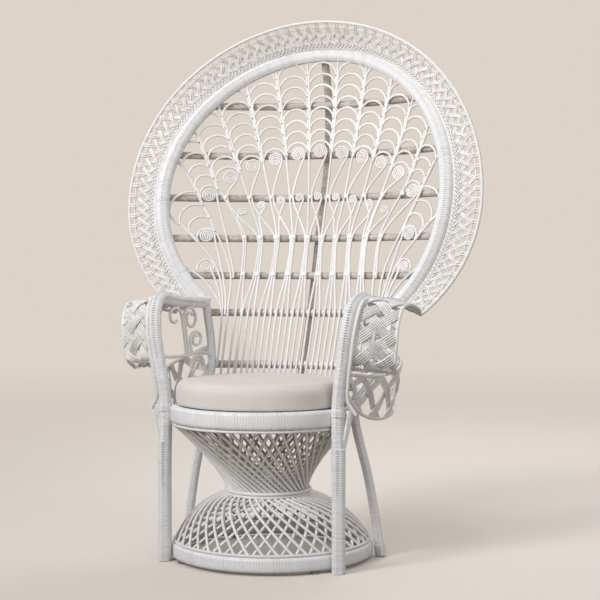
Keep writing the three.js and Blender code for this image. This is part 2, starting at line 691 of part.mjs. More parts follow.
function featherShape(j) {
  const plan = featherPlan(j);
  const half = FEATHER_STEP / 2;
  const at = (r, share) => {
    const point = polar(r, plan.centre + half * share);
    return new THREE.Vector2(point.x - 0.7 * share, point.y);
  };
  const tie = polar(plan.split, plan.centre);
  const tieHalf = plan.strands === 1 ? 3.4 : 6.4;
  const spread = plan.strands === 1 ? 3.4 : 12.4;
  const tieLow = 742;
  const stem = (z) => plan.foot + ((tie.x - plan.foot) * (z - plan.footZ)) / (tie.y - plan.footZ);
  const lowTie = Math.min(tieLow, tie.y - 30);
  const open = Math.min(660, lowTie - 60);
  const reachLeft = rimReach(plan.centre - half);
  const reachRight = rimReach(plan.centre + half);
  const reachMid = rimReach(plan.centre);
  const outline = [
    new THREE.Vector2(plan.foot - spread, plan.footZ),
    new THREE.Vector2(plan.foot + spread, plan.footZ),
    new THREE.Vector2(stem(open) + spread, open),
    new THREE.Vector2(stem(lowTie) + tieHalf, lowTie),
    new THREE.Vector2(tie.x + tieHalf, tie.y),
    at(plan.lowest, 1),
    at((plan.lowest + reachRight) / 2, 1),
    at(reachRight, 1),
    at(reachMid, 0),
    at(reachLeft, -1),
    at((plan.lowest + reachLeft) / 2, -1),
    at(plan.lowest, -1),
    new THREE.Vector2(tie.x - tieHalf, tie.y),
    new THREE.Vector2(stem(lowTie) - tieHalf, lowTie),
    new THREE.Vector2(stem(open) - spread, open),
  ];
  const shape = new THREE.Shape(outline);
  if (plan.strands === 2) {
    const slit = [
      new THREE.Vector2(stem(lowTie - 14), lowTie - 14),
      new THREE.Vector2(stem(open) + spread - 6.4, open),
      new THREE.Vector2(stem(520) + spread - 6.4, 520),
      new THREE.Vector2(stem(447) + spread - 6.4, 447),
      new THREE.Vector2(stem(447) - spread + 6.4, 447),
      new THREE.Vector2(stem(520) - spread + 6.4, 520),
      new THREE.Vector2(stem(open) - spread + 6.4, open),
    ];
    shape.holes.push(new THREE.Path(slit));
  }
  const side = 0.84;
  let top = Math.min(reachLeft, reachRight, reachMid) - 6;
  while (top - ARCH_STEP > plan.lowest + 40) {
    const next = top - ARCH_STEP;
    const opening = [
      at(top - ARCH_BAR - ARCH_DROP, -side),
      at(top - ARCH_BAR - 4, -0.5),
      at(top - ARCH_BAR - 4, 0.5),
      at(top - ARCH_BAR - ARCH_DROP, side),
      at(next - ARCH_DROP, side),
      at(next - 2, 0.46),
      at(next - 2, -0.46),
      at(next - ARCH_DROP, -side),
    ];
    shape.holes.push(new THREE.Path(opening));
    top = next;
  }
  const neck = plan.lowest + 6;
  const eye = at(plan.lowest - 6, -0.05);
  const eyeRadius = Math.min(19, plan.lowest * Math.sin(radians(half)) * 0.62);
  const loop = [
    at(neck + 5, side - 0.04),
    at(top - ARCH_BAR - ARCH_DROP, side - 0.02),
    at(top - ARCH_BAR - 4, 0.5),
    at(top - ARCH_BAR - 4, -0.5),
    at(top - ARCH_BAR - ARCH_DROP, -side),
    at(plan.lowest, -side + 0.02),
    new THREE.Vector2(tie.x + (eye.x - tie.x) * 0.16, tie.y + (eye.y - tie.y) * 0.16),
    at(neck - 8, side - 0.06),
  ];
  for (let i = 0; i <= 6; i++) {
    const angle = radians(-5 - plan.centre - 54 * i);
    loop.push(new THREE.Vector2(eye.x + eyeRadius * Math.cos(angle), eye.y + eyeRadius * Math.sin(angle)));
  }
  shape.holes.push(new THREE.Path(loop));
  return shape;
}

function feather(j) {
  const flat = new THREE.ExtrudeGeometry(featherShape(j), { depth: FEATHER_THICK, bevelEnabled: false, steps: 1 });
  const positions = flat.attributes.position;
  for (let i = 0; i < positions.count; i++) {
    const x = positions.getX(i);
    const z = positions.getY(i);
    const front = positions.getZ(i) - FEATHER_THICK / 2;
    positions.setXYZ(i, x, backY(x, z) - front, z);
  }
  return solid(flat).subtract(solid(barGrown[6]));
}

for (let j = -FEATHER_REACH; j <= FEATHER_REACH; j++) {
  place("fan_feather_" + (j + FEATHER_REACH + 1), feather(j), caneWhite);
}

// Origin at the middle of the footprint, on the floor

chair.updateMatrixWorld(true);
const extent = new THREE.Box3().setFromObject(chair, true);
chair.position.y = -(extent.min.y + extent.max.y) / 2;
chair.position.z = -extent.min.z;
chair.updateMatrixWorld(true);

export default chair;
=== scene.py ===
import math

import bmesh
import bpy
import numpy as np
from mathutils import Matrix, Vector
from mathutils.bvhtree import BVHTree


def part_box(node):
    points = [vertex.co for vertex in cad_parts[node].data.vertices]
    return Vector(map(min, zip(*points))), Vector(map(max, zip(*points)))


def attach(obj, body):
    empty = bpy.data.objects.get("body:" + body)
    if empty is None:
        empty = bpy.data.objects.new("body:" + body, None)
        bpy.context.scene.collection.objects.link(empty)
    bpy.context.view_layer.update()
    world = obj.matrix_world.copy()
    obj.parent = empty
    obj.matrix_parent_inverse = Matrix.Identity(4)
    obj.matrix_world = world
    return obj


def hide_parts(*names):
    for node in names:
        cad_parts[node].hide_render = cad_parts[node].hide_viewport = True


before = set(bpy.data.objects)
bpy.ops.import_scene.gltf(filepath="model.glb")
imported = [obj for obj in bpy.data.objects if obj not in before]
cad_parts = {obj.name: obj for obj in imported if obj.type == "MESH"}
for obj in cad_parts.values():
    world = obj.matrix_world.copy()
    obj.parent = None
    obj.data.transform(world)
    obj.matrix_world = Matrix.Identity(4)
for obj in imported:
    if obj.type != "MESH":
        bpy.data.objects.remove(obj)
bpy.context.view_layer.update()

# Sizes in millimetres, in the chair's own layout: pedestal axis at X 0, Y 0, front towards -Y

MM = 0.001
POLE_RADIUS = 18.5
RIM_WRAPPED = 41.0
ARM_RADIUS = 16.5
POST_RADIUS = 12.5
BAR_RADIUS = 11.0
BRACE_RADIUS = 12.0
CANE_RADIUS = 3.9
EDGE_CANE = 4.6
HOOP_CANE = 4.0
CURL_CANE = 4.4
BESIDE_CANE = 5.2
FAN_CANE = 3.5
SCROLL_CANE = 2.8
LACE_CANE = 3.0
THIN_CANE = 2.6
SEAM_THREAD = 1.1
DRAWN_THREAD = 2.0
PIN_HEAD = 2.3
PIN_FRONT = 3.6
PIN_FLAT = 0.55
BAND_STRAND = 2.5
WRAP_PITCH = 6.2
WRAP_GROOVE = 0.8
BAND_PITCH = 7.0
BAND_CORNER = 9.0
TIE_PITCH = 2.8
TIE_GROOVE = 0.6

BASE_RADIUS = 262.0
BASE_MIDDLE = 26.3
BASE_BAND = (27.0, 39.4)
SEAT_Y = -75.0
SEAT_RADIUS = 230.0
SEAT_MIDDLE = 395.0
SEAT_BAND = (29.0, 45.4)
SEAT_TOP = 418.0
BASE_HOOP = (266.0, 50.0)
SEAT_HOOP = (236.0, 368.0)
CANE_TOP = 366.0
CANE_FOOT = 51.0
WAIST_HEIGHT = 175.0
WAIST_RADIUS = 101.0
WAIST_Y = -30.0
PEDESTAL_CANES = 44
BELL_BEND = (195.0, 152.0)
UPPER_TWIST = 59.0
LOWER_TWIST = 38.0

FAN_CENTRE = 420.0
BACK_FRONT_Y = 185.0
BACK_LEAN = 265.0
BACK_LEAN_HEIGHT = 1023.0
BACK_CUP = 0.0009
RIM_CENTRE = 1000.0
RIM_RADIUS = 433.0
RIM_END = -48.0
BORDER_CENTRE = 985.0
BORDER_RADIUS = 536.0
BORDER_END = -42.0
BORDER_TAPER = 38.0
BORDER_FLARE_SIDE = 10.0
BORDER_FLARE_TOP = 60.0
BORDER_CLEAR = 5.2
LACE_PERIODS = 78
BAR_HEIGHTS = (1281.0, 1128.0, 998.0, 876.0, 765.0, 656.0, 507.0, 452.0)
BAR_BEHIND = 15.6
SEVENTH_BAR_BEHIND = 13.4
STRAND_FOOT = 443.0
FEATHER_STEP = 5.7
SPINE_RIM_STEP = 13.6
RIM_BITE = 3
ARCH_STEP = 33.0
ARCH_LEG = 36.0
ARCH_RISE = 0.45
ARCH_INSET = 0.95
FIRST_ARCH = 4.0
ARCH_ROOM = 0.14
LONE_ARCH = (22.0, 26.0)

CUSHION_RADIUS = 236.0
CUSHION_THICK = 78.0

# The layout's Y 0 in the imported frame, read from the round base

base_low, base_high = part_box("base_ring")
ROW_Y = (base_low.y + base_high.y) / 2


# Paths: plain lists of points in millimetres, laid out with numpy

BEND_STEPS = 24
BAND_STEPS = 160
HOOP_STEPS = 120
WAIST_STEPS = 72
RIM_STEPS = 260
BORDER_STATIONS = 400
BORDER_STEPS = 220
BAR_STEPS = 60
STEM_STEPS = 90
CURL_STEPS = 16


def resampled(points, count):
    points = np.asarray(points, float)
    steps = np.linalg.norm(np.diff(points, axis=0), axis=1)
    along = np.concatenate([[0.0], np.cumsum(steps)])
    at = np.linspace(0.0, along[-1], count)
    return np.stack([np.interp(at, along, points[:, k]) for k in range(points.shape[1])], axis=1)


def smooth(points, count):
    """A bent cane through the given points, in evenly spaced steps."""
    p = np.asarray(points, float)
    p = np.vstack([2 * p[0] - p[1], p, 2 * p[-1] - p[-2]])
    pieces = []
    for i in range(len(p) - 3):
        a, b, c, d = p[i:i + 4]
        before, here, after = (max(np.linalg.norm(v), 1e-6) ** 0.5 for v in (b - a, c - b, d - c))
        start = ((b - a) / before - (c - a) / (before + here) + (c - b) / here) * here
        stop = ((c - b) / here - (d - b) / (here + after) + (d - c) / after) * here
        t = np.linspace(0.0, 1.0, BEND_STEPS, endpoint=False)[:, None]
        curve = b + start * t + (3 * (c - b) - 2 * start - stop) * t ** 2
        pieces.append(curve + (2 * (b - c) + start + stop) * t ** 3)
    pieces.append(p[-2:-1])
    return resampled(np.vstack(pieces), count)


def spots(line, shares):
    """Places at shares along a line, from 0 at its start to 1 at its end."""
    at = np.linspace(0.0, 1.0, len(line))
    return np.stack([np.interp(shares, at, line[:, k]) for k in range(line.shape[1])], axis=-1)


def unit(vectors):
    return vectors / np.linalg.norm(vectors, axis=1)[:, None]


def ring_path(radius, y, z, count):
    angle = np.linspace(0.0, 2 * math.pi, count, endpoint=False)
    return np.stack([radius * np.cos(angle), y + radius * np.sin(angle), np.full(count, z)], axis=1)


def back_depth(x, z):
    rise = np.clip((z - FAN_CENTRE) / BACK_LEAN_HEIGHT, 0.0, 1.0)
    return BACK_FRONT_Y + BACK_LEAN * (1 - (1 - rise) ** 2) - BACK_CUP * x * x


def on_back(flat, front=0.0):
    """Points X, Z of the front view laid on the cupped back, some way in front of its middle."""
    flat = np.asarray(flat, float)
    x, z = flat[:, 0], flat[:, 1]
    across = back_depth(x + 0.5, z) - back_depth(x - 0.5, z)
    up = back_depth(x, z + 0.5) - back_depth(x, z - 0.5)
    normal = unit(np.stack([-across, np.ones_like(x), -up], axis=1))
    return np.stack([x, back_depth(x, z), z], axis=1) - normal * np.asarray(front).reshape(-1, 1)


def rim_point(degrees):
    angle = np.radians(np.atleast_1d(degrees))
    flat = np.stack([RIM_RADIUS * np.cos(angle), RIM_CENTRE + RIM_RADIUS * np.sin(angle)], axis=1)
    return on_back(flat)


def polar(r, degrees):
    angle = np.radians(degrees)
    return np.stack([r * np.sin(angle), FAN_CENTRE + r * np.cos(angle)], axis=-1)


# Node trees: one small function adds a node with its settings, values and links

def add_node(tree, kind, inputs=None, **settings):
    made = tree.nodes.new(kind)
    for key, value in settings.items():
        setattr(made, key, value)
    for socket, value in (inputs or {}).items():
        if isinstance(value, bpy.types.NodeSocket):
            tree.links.new(value, made.inputs[socket])
        else:
            made.inputs[socket].default_value = value
    return made


def result(tree, kind, inputs=None, **settings):
    return add_node(tree, kind, inputs, **settings).outputs[0]


def open_tree(name, **sizes):
    """A tree that takes paths, the given sizes and a material, and gives a mesh."""
    tree = bpy.data.node_groups.new(name, "GeometryNodeTree")
    takes = {"Paths": "Geometry", **sizes, "Material": "Material"}
    for size, kind in takes.items():
        tree.interface.new_socket(name=size, in_out="INPUT", socket_type="NodeSocket" + kind)
    tree.interface.new_socket(name="Mesh", in_out="OUTPUT", socket_type="NodeSocketGeometry")
    return tree, tree.nodes.new("NodeGroupInput").outputs


def close_tree(tree, mesh, material):
    soft = result(tree, "GeometryNodeSetShadeSmooth", {"Geometry": mesh})
    real = result(tree, "GeometryNodeRealizeInstances", {"Geometry": soft})
    done = result(tree, "GeometryNodeSetMaterial", {"Geometry": real, "Material": material})
    add_node(tree, "NodeGroupOutput", {"Mesh": done})
    return tree


def path_curves(tree, size):
    return result(tree, "GeometryNodeMeshToCurve", {"Mesh": size["Paths"]})


def stored(tree, geometry, name, value, domain="POINT"):
    return result(
        tree, "GeometryNodeStoreNamedAttribute",
        {"Geometry": geometry, "Name": name, "Value": value}, data_type="FLOAT", domain=domain)


def recalled(tree, name, kind="FLOAT"):
    return result(tree, "GeometryNodeInputNamedAttribute", {"Name": name}, data_type=kind)


def calc(tree, operation, *values):
    return result(tree, "ShaderNodeMath", dict(enumerate(values)), operation=operation)


def swept(tree, curve, profile):
    return result(
        tree, "GeometryNodeCurveToMesh",
        {"Curve": curve, "Profile Curve": profile, "Fill Caps": True})


def round_canes(tree, curve, size, seed):
    """Round canes along a curve, each with a tone of its own, from 0 to 1."""
    tone = add_node(tree, "FunctionNodeRandomValue", {"Seed": seed}, data_type="FLOAT").outputs[1]
    curve = stored(tree, curve, "tone", tone, "CURVE")
    ring = result(
        tree, "GeometryNodeCurvePrimitiveCircle",
        {"Resolution": size["Sides"], "Radius": size["Radius"]}, mode="RADIUS")
    return close_tree(tree, swept(tree, curve, ring), size["Material"])


def cane_tree():
    """Canes bent along paths."""
    tree, size = open_tree("round_cane", Radius="Float", Sides="Int")
    return round_canes(tree, path_curves(tree, size), size, 3)


def binding_tree():
    """Poles and bands wound with split cane: each turn stands proud of a fine groove."""
    tree, size = open_tree(
        "cane_binding", Width="Float", Height="Float", Corner="Float", Pitch="Float", Groove="Float",
        Upright="Bool")
    quarter = calc(tree, "DIVIDE", size["Pitch"], 4.0)
    curve = result(
        tree, "GeometryNodeResampleCurve",
        {"Curve": path_curves(tree, size), "Length": quarter}, mode="LENGTH")
    level = result(tree, "GeometryNodeSetCurveNormal", {"Curve": curve}, mode="Z_UP")
    curve = result(
        tree, "GeometryNodeSwitch",
        {"Switch": size["Upright"], "False": curve, "True": level}, input_type="GEOMETRY")
    spline = add_node(tree, "GeometryNodeSplineParameter").outputs
    curve = stored(tree, curve, "along", spline["Length"])
    section = result(
        tree, "GeometryNodeCurvePrimitiveQuadrilateral",
        {"Width": size["Width"], "Height": size["Height"]}, mode="RECTANGLE")
    section = result(
        tree, "GeometryNodeFilletCurve",
        {"Curve": section, "Count": 3, "Radius": size["Corner"], "Limit Radius": True}, mode="POLY")
    section = stored(tree, section, "around", spline["Factor"])
    mesh = swept(tree, curve, section)
    turn = calc(tree, "DIVIDE", recalled(tree, "along"), size["Pitch"])
    turn = calc(tree, "ADD", turn, recalled(tree, "around"))
    ridge = calc(tree, "ABSOLUTE", calc(tree, "SINE", calc(tree, "MULTIPLY", turn, math.pi)))
    ridge = calc(tree, "POWER", ridge, 0.5)
    sink = calc(tree, "MULTIPLY", calc(tree, "SUBTRACT", ridge, 1.0), size["Groove"])
    normal = result(tree, "GeometryNodeInputNormal")
    offset = result(tree, "ShaderNodeVectorMath", {0: normal, "Scale": sink}, operation="SCALE")
    mesh = stored(tree, mesh, "turn", calc(tree, "FLOOR", turn))
    # The ridge kept here also drives the painted shade in the binding material's grooves
    mesh = stored(tree, mesh, "ridge", ridge)
    mesh = result(tree, "GeometryNodeSetPosition", {"Geometry": mesh, "Offset": offset})
    return close_tree(tree, mesh, size["Material"])


def pedestal_tree():
    """One leaning cane, repeated round the pedestal; its reach, turn and lean are kept on its points."""
    tree, size = open_tree(
        "pedestal_canes", Count="Int", Direction="Float", Radius="Float", Sides="Int")
    copies = add_node(
        tree, "GeometryNodeDuplicateElements",
        {"Geometry": path_curves(tree, size), "Amount": size["Count"]}, domain="SPLINE").outputs
    share = calc(tree, "DIVIDE", copies["Duplicate Index"], size["Count"])
    reach, turn, lean, rise = (recalled(tree, name) for name in ("reach", "turn", "lean", "rise"))
    whole_turn = calc(tree, "MULTIPLY", share, 2 * math.pi)
    angle = calc(tree, "MULTIPLY_ADD", turn, size["Direction"], whole_turn)
    x = calc(tree, "MULTIPLY", reach, calc(tree, "COSINE", angle))
    y = calc(tree, "MULTIPLY_ADD", reach, calc(tree, "SINE", angle), lean)
    place = result(tree, "ShaderNodeCombineXYZ", {"X": x, "Y": y, "Z": rise})
    curve = result(
        tree, "GeometryNodeSetPosition", {"Geometry": copies["Geometry"], "Position": place})
    return round_canes(tree, curve, size, 7)


def pin_tree():
    """Small nail heads set on points, facing the way kept on each point."""
    tree, size = open_tree("fan_pins", Radius="Float")
    facing = recalled(tree, "facing", "FLOAT_VECTOR")
    turn = result(tree, "FunctionNodeAlignRotationToVector", {"Vector": facing}, axis="Z")
    head = result(
        tree, "GeometryNodeMeshUVSphere", {"Segments": 6, "Rings": 4, "Radius": size["Radius"]})
    points = result(tree, "GeometryNodeMeshToPoints", {"Mesh": size["Paths"]})
    heads = result(
        tree, "GeometryNodeInstanceOnPoints",
        {"Points": points, "Instance": head, "Rotation": turn, "Scale": (1.0, 1.0, PIN_FLAT)})
    return close_tree(tree, heads, size["Material"])


CANES = cane_tree()
BINDING = binding_tree()
PEDESTAL = pedestal_tree()
PINS = pin_tree()


# Pieces: a mesh of paths grows through a tree and is kept as a plain mesh

def in_frame(points):
    return np.asarray(points, float) * MM + np.array([0.0, ROW_Y, 0.0])


def paths_mesh(name, paths, closed=False):
    corners = []
    edges = []
    for path in paths:
        first = len(corners)
        corners.extend(in_frame(path).tolist())
        edges.extend((k, k + 1) for k in range(first, len(corners) - 1))
        if closed:
            edges.append((len(corners) - 1, first))
    mesh = bpy.data.meshes.new(name)
    mesh.from_pydata(corners, edges, [])
    return mesh


def linked(name, data):
    made = bpy.data.objects.new(name, data)
    bpy.context.scene.collection.objects.link(made)
    return made


def made_real(piece):
    """Keep what a piece's modifiers make of it as its own mesh."""
    graph = bpy.context.evaluated_depsgraph_get()
    mesh = bpy.data.meshes.new_from_object(piece.evaluated_get(graph))
    piece.modifiers.clear()
    piece.data = mesh


def grown(name, tree, mesh, sizes):
    seed = linked(name, mesh)
    modifier = seed.modifiers.new(tree.name, "NODES")
    modifier.node_group = tree
    for item in tree.interface.items_tree:
        if item.in_out == "INPUT" and item.name in sizes:
            modifier[item.identifier] = sizes[item.name]
    bpy.context.view_layer.update()
    made_real(seed)
    seed.data.name = name
    bpy.data.meshes.remove(mesh)
    return seed


def canes(name, paths, radius, material, stands_for=(), sides=7, closed=False, body="frame"):
    piece = grown(name, CANES, paths_mesh(name, paths, closed), {
        "Radius": radius * MM, "Sides": sides, "Material": material})
    return kept(piece, stands_for, body)


def bound(name, paths, size, material, stands_for=(), closed=False, upright=False,
          pitch=WRAP_PITCH, groove=WRAP_GROOVE, corner=None):
    """Paths wound with split cane: size is a pole's thickness, or a band's width and height."""
    width, height = size if isinstance(size, tuple) else (size, size)
    corner = min(width, height) / 2 * 0.999 if corner is None else corner
    piece = grown(name, BINDING, paths_mesh(name, paths, closed), {
        "Width": width * MM, "Height": height * MM, "Corner": corner * MM, "Pitch": pitch * MM,
        "Groove": groove * MM, "Upright": upright, "Material": material})
    return kept(piece, stands_for)


def kept(piece, stands_for=(), body="frame"):
    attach(piece, body)
    if stands_for:
        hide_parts(*stands_for)
    return piece


# Materials

def linear(hexcode):
    parts = [int(hexcode[k:k + 2], 16) / 255 for k in (1, 3, 5)]
    return [c / 12.92 if c <= 0.04045 else ((c + 0.055) / 1.055) ** 2.4 for c in parts] + [1.0]


def open_material(name, roughness, ior=1.5):
    material = bpy.data.materials.new(name)
    material.use_nodes = True
    tree = material.node_tree
    shader = tree.nodes["Principled BSDF"]
    shader.inputs["Roughness"].default_value = roughness
    shader.inputs["IOR"].default_value = ior
    place = add_node(tree, "ShaderNodeTexCoord").outputs["Object"]
    return material, tree, shader, place


def blended(tree, factor, first, second):
    made = add_node(tree, "ShaderNodeMix", {"Factor": factor}, data_type="RGBA")
    for socket, value in ((6, first), (7, second)):
        if isinstance(value, bpy.types.NodeSocket):
            tree.links.new(value, made.inputs[socket])
        else:
            made.inputs[socket].default_value = value
    return made.outputs[2]


def layered(tree, shader, light, *layers):
    """Base colour: a light tone with others laid over it, each by a mask and its share."""
    colour = linear(light)
    for mask, share, tone in layers:
        colour = blended(tree, calc(tree, "MULTIPLY", mask, share), colour, linear(tone))
    tree.links.new(colour, shader.inputs["Base Color"])


def grain(tree, place, size_mm, detail=3.0):
    made = add_node(
        tree, "ShaderNodeTexNoise",
        {"Vector": place, "Scale": 1000.0 / size_mm, "Detail": detail, "Roughness": 0.6})
    return made.outputs["Fac"]


def stepped(tree, value, low, high):
    return result(tree, "ShaderNodeMapRange", {"Value": value, "From Min": low, "From Max": high})


def bumped(tree, shader, height, strength, depth_mm):
    facing = result(
        tree, "ShaderNodeBump", {"Strength": strength, "Distance": depth_mm * MM, "Height": height})
    tree.links.new(facing, shader.inputs["Normal"])


def lacquered_cane(name, light, dark):
    """Round rattan core sprayed with white lacquer: satin, each cane a little different, pores showing."""
    material, tree, shader, place = open_material(name, 0.5)
    tone = add_node(tree, "ShaderNodeAttribute", attribute_name="tone").outputs["Fac"]
    patches = stepped(tree, grain(tree, place, 22.0), 0.35, 0.75)
    pores = stepped(tree, grain(tree, place, 2.4, 2.0), 0.60, 0.78)
    layered(tree, shader, light, (tone, 0.45, dark), (patches, 0.30, dark), (pores, 0.35, "#B5A89C"))
    bumped(tree, shader, grain(tree, place, 1.6), 0.35, 0.25)
    return material


def split_cane_binding(name, light, dark):
    """Flat split cane wound edge to edge and lacquered white: turns differ, and painted shade darkens the
    grooves between turns.
    """
    material, tree, shader, place = open_material(name, 0.42)
    turn = add_node(tree, "ShaderNodeAttribute", attribute_name="turn").outputs["Fac"]
    ridge = add_node(tree, "ShaderNodeAttribute", attribute_name="ridge").outputs["Fac"]
    chance = add_node(tree, "ShaderNodeTexWhiteNoise", {"W": turn}, noise_dimensions="1D").outputs["Value"]
    odd = stepped(tree, chance, 0.55, 1.0)
    # Painted shade: the grooves between turns are darkened towards grey, by how deep the surface sinks
    groove = stepped(tree, ridge, 0.62, 0.15)
    patches = stepped(tree, grain(tree, place, 45.0), 0.40, 0.75)
    layered(tree, shader, light, (odd, 0.60, dark), (patches, 0.22, dark), (groove, 0.70, "#9C9896"))
    bumped(tree, shader, grain(tree, place, 2.0), 0.25, 0.2)
    return material


def worn_rattan_pole(name, light, dark):
    """Rattan crossbars whose lacquer has thinned: greyish wood shows in streaks and at the nodes."""
    material, tree, shader, place = open_material(name, 0.62)
    long_grain = result(tree, "ShaderNodeMapping", {"Vector": place, "Scale": (0.12, 1.0, 1.0)})
    streaks = stepped(tree, grain(tree, long_grain, 5.0, 4.0), 0.38, 0.68)
    patches = stepped(tree, grain(tree, place, 60.0), 0.40, 0.70)
    layered(tree, shader, light, (streaks, 0.75, dark), (patches, 0.45, "#7A6E65"))
    bumped(tree, shader, streaks, 0.4, 0.4)
    return material


def cotton_canvas(name, light, dark):
    """Plain-woven cotton canvas: matt, soft sheen; its 0.8 mm threads are drawn wider to show."""
    material, tree, shader, place = open_material(name, 0.92)
    shader.inputs["Sheen Weight"].default_value = 0.15
    shader.inputs["Sheen Roughness"].default_value = 0.6
    threads = {
        "Vector": place, "Scale": 1000.0 / (DRAWN_THREAD * math.pi), "Distortion": 0.6, "Detail": 1.0}
    warp, weft = (
        add_node(tree, "ShaderNodeTexWave", threads, bands_direction=way).outputs["Fac"] for way in "XY")
    weave = calc(tree, "MULTIPLY", warp, weft)
    slubs = stepped(tree, grain(tree, place, 9.0), 0.50, 0.80)
    patches = stepped(tree, grain(tree, place, 90.0), 0.35, 0.70)
    layered(tree, shader, light, (weave, 0.10, dark), (slubs, 0.12, dark), (patches, 0.25, dark))
    bumped(tree, shader, weave, 0.25, 0.3)
    return material


def plain_wood_ply(name, light, dark):
    """Thin birch ply and a sawn bearer under the cushion: pale, matt, straight grain."""
    material, tree, shader, place = open_material(name, 0.7)
    along = result(tree, "ShaderNodeMapping", {"Vector": place, "Scale": (1.0, 0.08, 1.0)})
    lines = stepped(tree, grain(tree, along, 4.0, 4.0), 0.35, 0.70)
    layered(tree, shader, light, (lines, 1.0, dark))
    bumped(tree, shader, lines, 0.3, 0.2)
    return material


def moulded_glide(name, light, dark):
    """Moulded grey polyethylene glides: matt, faintly scuffed."""
    material, tree, shader, place = open_material(name, 0.55)
    scuffs = stepped(tree, grain(tree, place, 3.0), 0.45, 0.75)
    layered(tree, shader, light, (scuffs, 1.0, dark))
    bumped(tree, shader, scuffs, 0.2, 0.1)
    return material


def steel_pin(name, light, dark):
    """Small wire nails, dulled by lacquer."""
    material, tree, shader, place = open_material(name, 0.5)
    dulling = stepped(tree, grain(tree, place, 1.5), 0.40, 0.65)
    layered(tree, shader, light, (dulling, 1.0, dark))
    return material


CANE = lacquered_cane("white_lacquered_cane", "#F5F4F3", "#D5D0CC")
# A darker copy of the lacquered cane for the lace, braid and woven bands: painted shade, standing in for
# the shade that these weaves lie in
PAINTED_SHADE_CANE = lacquered_cane("white_lacquered_cane_painted_shade", "#F3F2F1", "#CBC6C2")
# Both bindings carry painted shade in their grooves
WRAP = split_cane_binding("white_split_cane_binding", "#F0F0F1", "#D3D2D2")
TIES = split_cane_binding("white_cane_ties", "#F1EFED", "#CFC9C4")
WORN = worn_rattan_pole("worn_lacquered_rattan", "#D6CEC8", "#94887F")
CANVAS = cotton_canvas("offwhite_cotton_canvas", "#DFD8D2", "#CEC5BD")
PLY = plain_wood_ply("birch_ply", "#D8C7AE", "#BFA988")
GLIDE = moulded_glide("grey_moulded_polyethylene", "#8C8A88", "#757371")
STEEL = steel_pin("dull_wire_nail", "#5E5751", "#403A36")


# Base, seat band and pedestal

bound("base_band", [ring_path(BASE_RADIUS, 0, BASE_MIDDLE, BAND_STEPS)], BASE_BAND, WRAP,
      stands_for=["base_ring"], closed=True, upright=True, pitch=BAND_PITCH, corner=BAND_CORNER)
bound("seat_band", [ring_path(SEAT_RADIUS, SEAT_Y, SEAT_MIDDLE, BAND_STEPS)], SEAT_BAND, WRAP,
      stands_for=["seat_ring"], closed=True, upright=True, pitch=BAND_PITCH, corner=BAND_CORNER)
canes("base_top_cane", [ring_path(BASE_HOOP[0], 0, BASE_HOOP[1], HOOP_STEPS)], HOOP_CANE, CANE,
      stands_for=["base_top_hoop"], closed=True)
canes("seat_under_cane", [ring_path(SEAT_HOOP[0], SEAT_Y, SEAT_HOOP[1], HOOP_STEPS)], HOOP_CANE, CANE,
      stands_for=["seat_under_hoop"], closed=True)

# Below the waist the two layers of canes draw closer, and the outer one lies higher halfway down
LAY_CLOSER = 0.35
LAY_HIGHER = 0.7


def pedestal_cane(shift):
    """Stations of one cane: height, reach from the leaning middle, turn, and the middle's Y."""
    stations = []
    turn_top = math.radians(UPPER_TWIST)
    for t in np.linspace(0.0, 1.0, 12):
        east = (1 - t) * (SEAT_RADIUS + shift) + t * (WAIST_RADIUS + shift) * math.cos(turn_top)
        north = t * (WAIST_RADIUS + shift) * math.sin(turn_top)
        middle = (1 - t) * SEAT_Y + t * WAIST_Y
        rise = (1 - t) * CANE_TOP + t * WAIST_HEIGHT
        stations.append((rise, math.hypot(east, north), math.atan2(north, east), middle))
    for t in np.linspace(0.0, 1.0, 14)[1:]:
        inner, bend, outer = (1 - t) ** 2, 2 * t * (1 - t), t * t
        reach = inner * WAIST_RADIUS + bend * BELL_BEND[0] + outer * BASE_RADIUS
        rise = inner * WAIST_HEIGHT + bend * BELL_BEND[1] + outer * CANE_FOOT
        rise += shift * LAY_HIGHER * math.sin(math.pi * t)
        out = shift * (1 - LAY_CLOSER * t)
        turn = math.radians(UPPER_TWIST + LOWER_TWIST * t)
        stations.append((rise, reach + out, turn, WAIST_Y * (1 - t)))
    return stations


def pedestal_set(name, shift, direction, node):
    stations = pedestal_cane(shift)
    mesh = paths_mesh(name, [[(0.0, 0.0, s[0]) for s in stations]])
    values = {
        "rise": [s[0] * MM for s in stations], "reach": [s[1] * MM for s in stations],
        "turn": [s[2] for s in stations], "lean": [s[3] * MM + ROW_Y for s in stations]}
    for key, numbers in values.items():
        mesh.attributes.new(key, "FLOAT", "POINT").data.foreach_set("value", numbers)
    piece = grown(name, PEDESTAL, mesh, {
        "Count": PEDESTAL_CANES, "Direction": direction, "Radius": CANE_RADIUS * MM, "Sides": 7,
        "Material": CANE})
    return kept(piece, [node])


CANE_CLEAR = 0.2
pedestal_set("pedestal_canes_outer", CANE_RADIUS + CANE_CLEAR, 1.0, "pedestal_strands_outer")
pedestal_set("pedestal_canes_inner", -CANE_RADIUS - CANE_CLEAR, -1.0, "pedestal_strands_inner")

# Two hoops hold the waist: how far each reaches out, back and up from it
WAIST_HOOPS = ((0.0, 0.0, 2.0), (1.2, -0.4, 11.0))
waist_reach = WAIST_RADIUS + 2 * CANE_RADIUS + EDGE_CANE
waist_hoops = [
    ring_path(waist_reach + out, WAIST_Y + back, WAIST_HEIGHT + up, WAIST_STEPS)
    for out, back, up in WAIST_HOOPS]
canes("waist_hoops", waist_hoops, EDGE_CANE, CANE, sides=8, closed=True)


# Rim pole, border and crossbars

rim_path = rim_point(np.linspace(RIM_END, 180 - RIM_END, RIM_STEPS))
bound("rim_pole", [rim_path], RIM_WRAPPED, WRAP, stands_for=["back_rim_pole"])


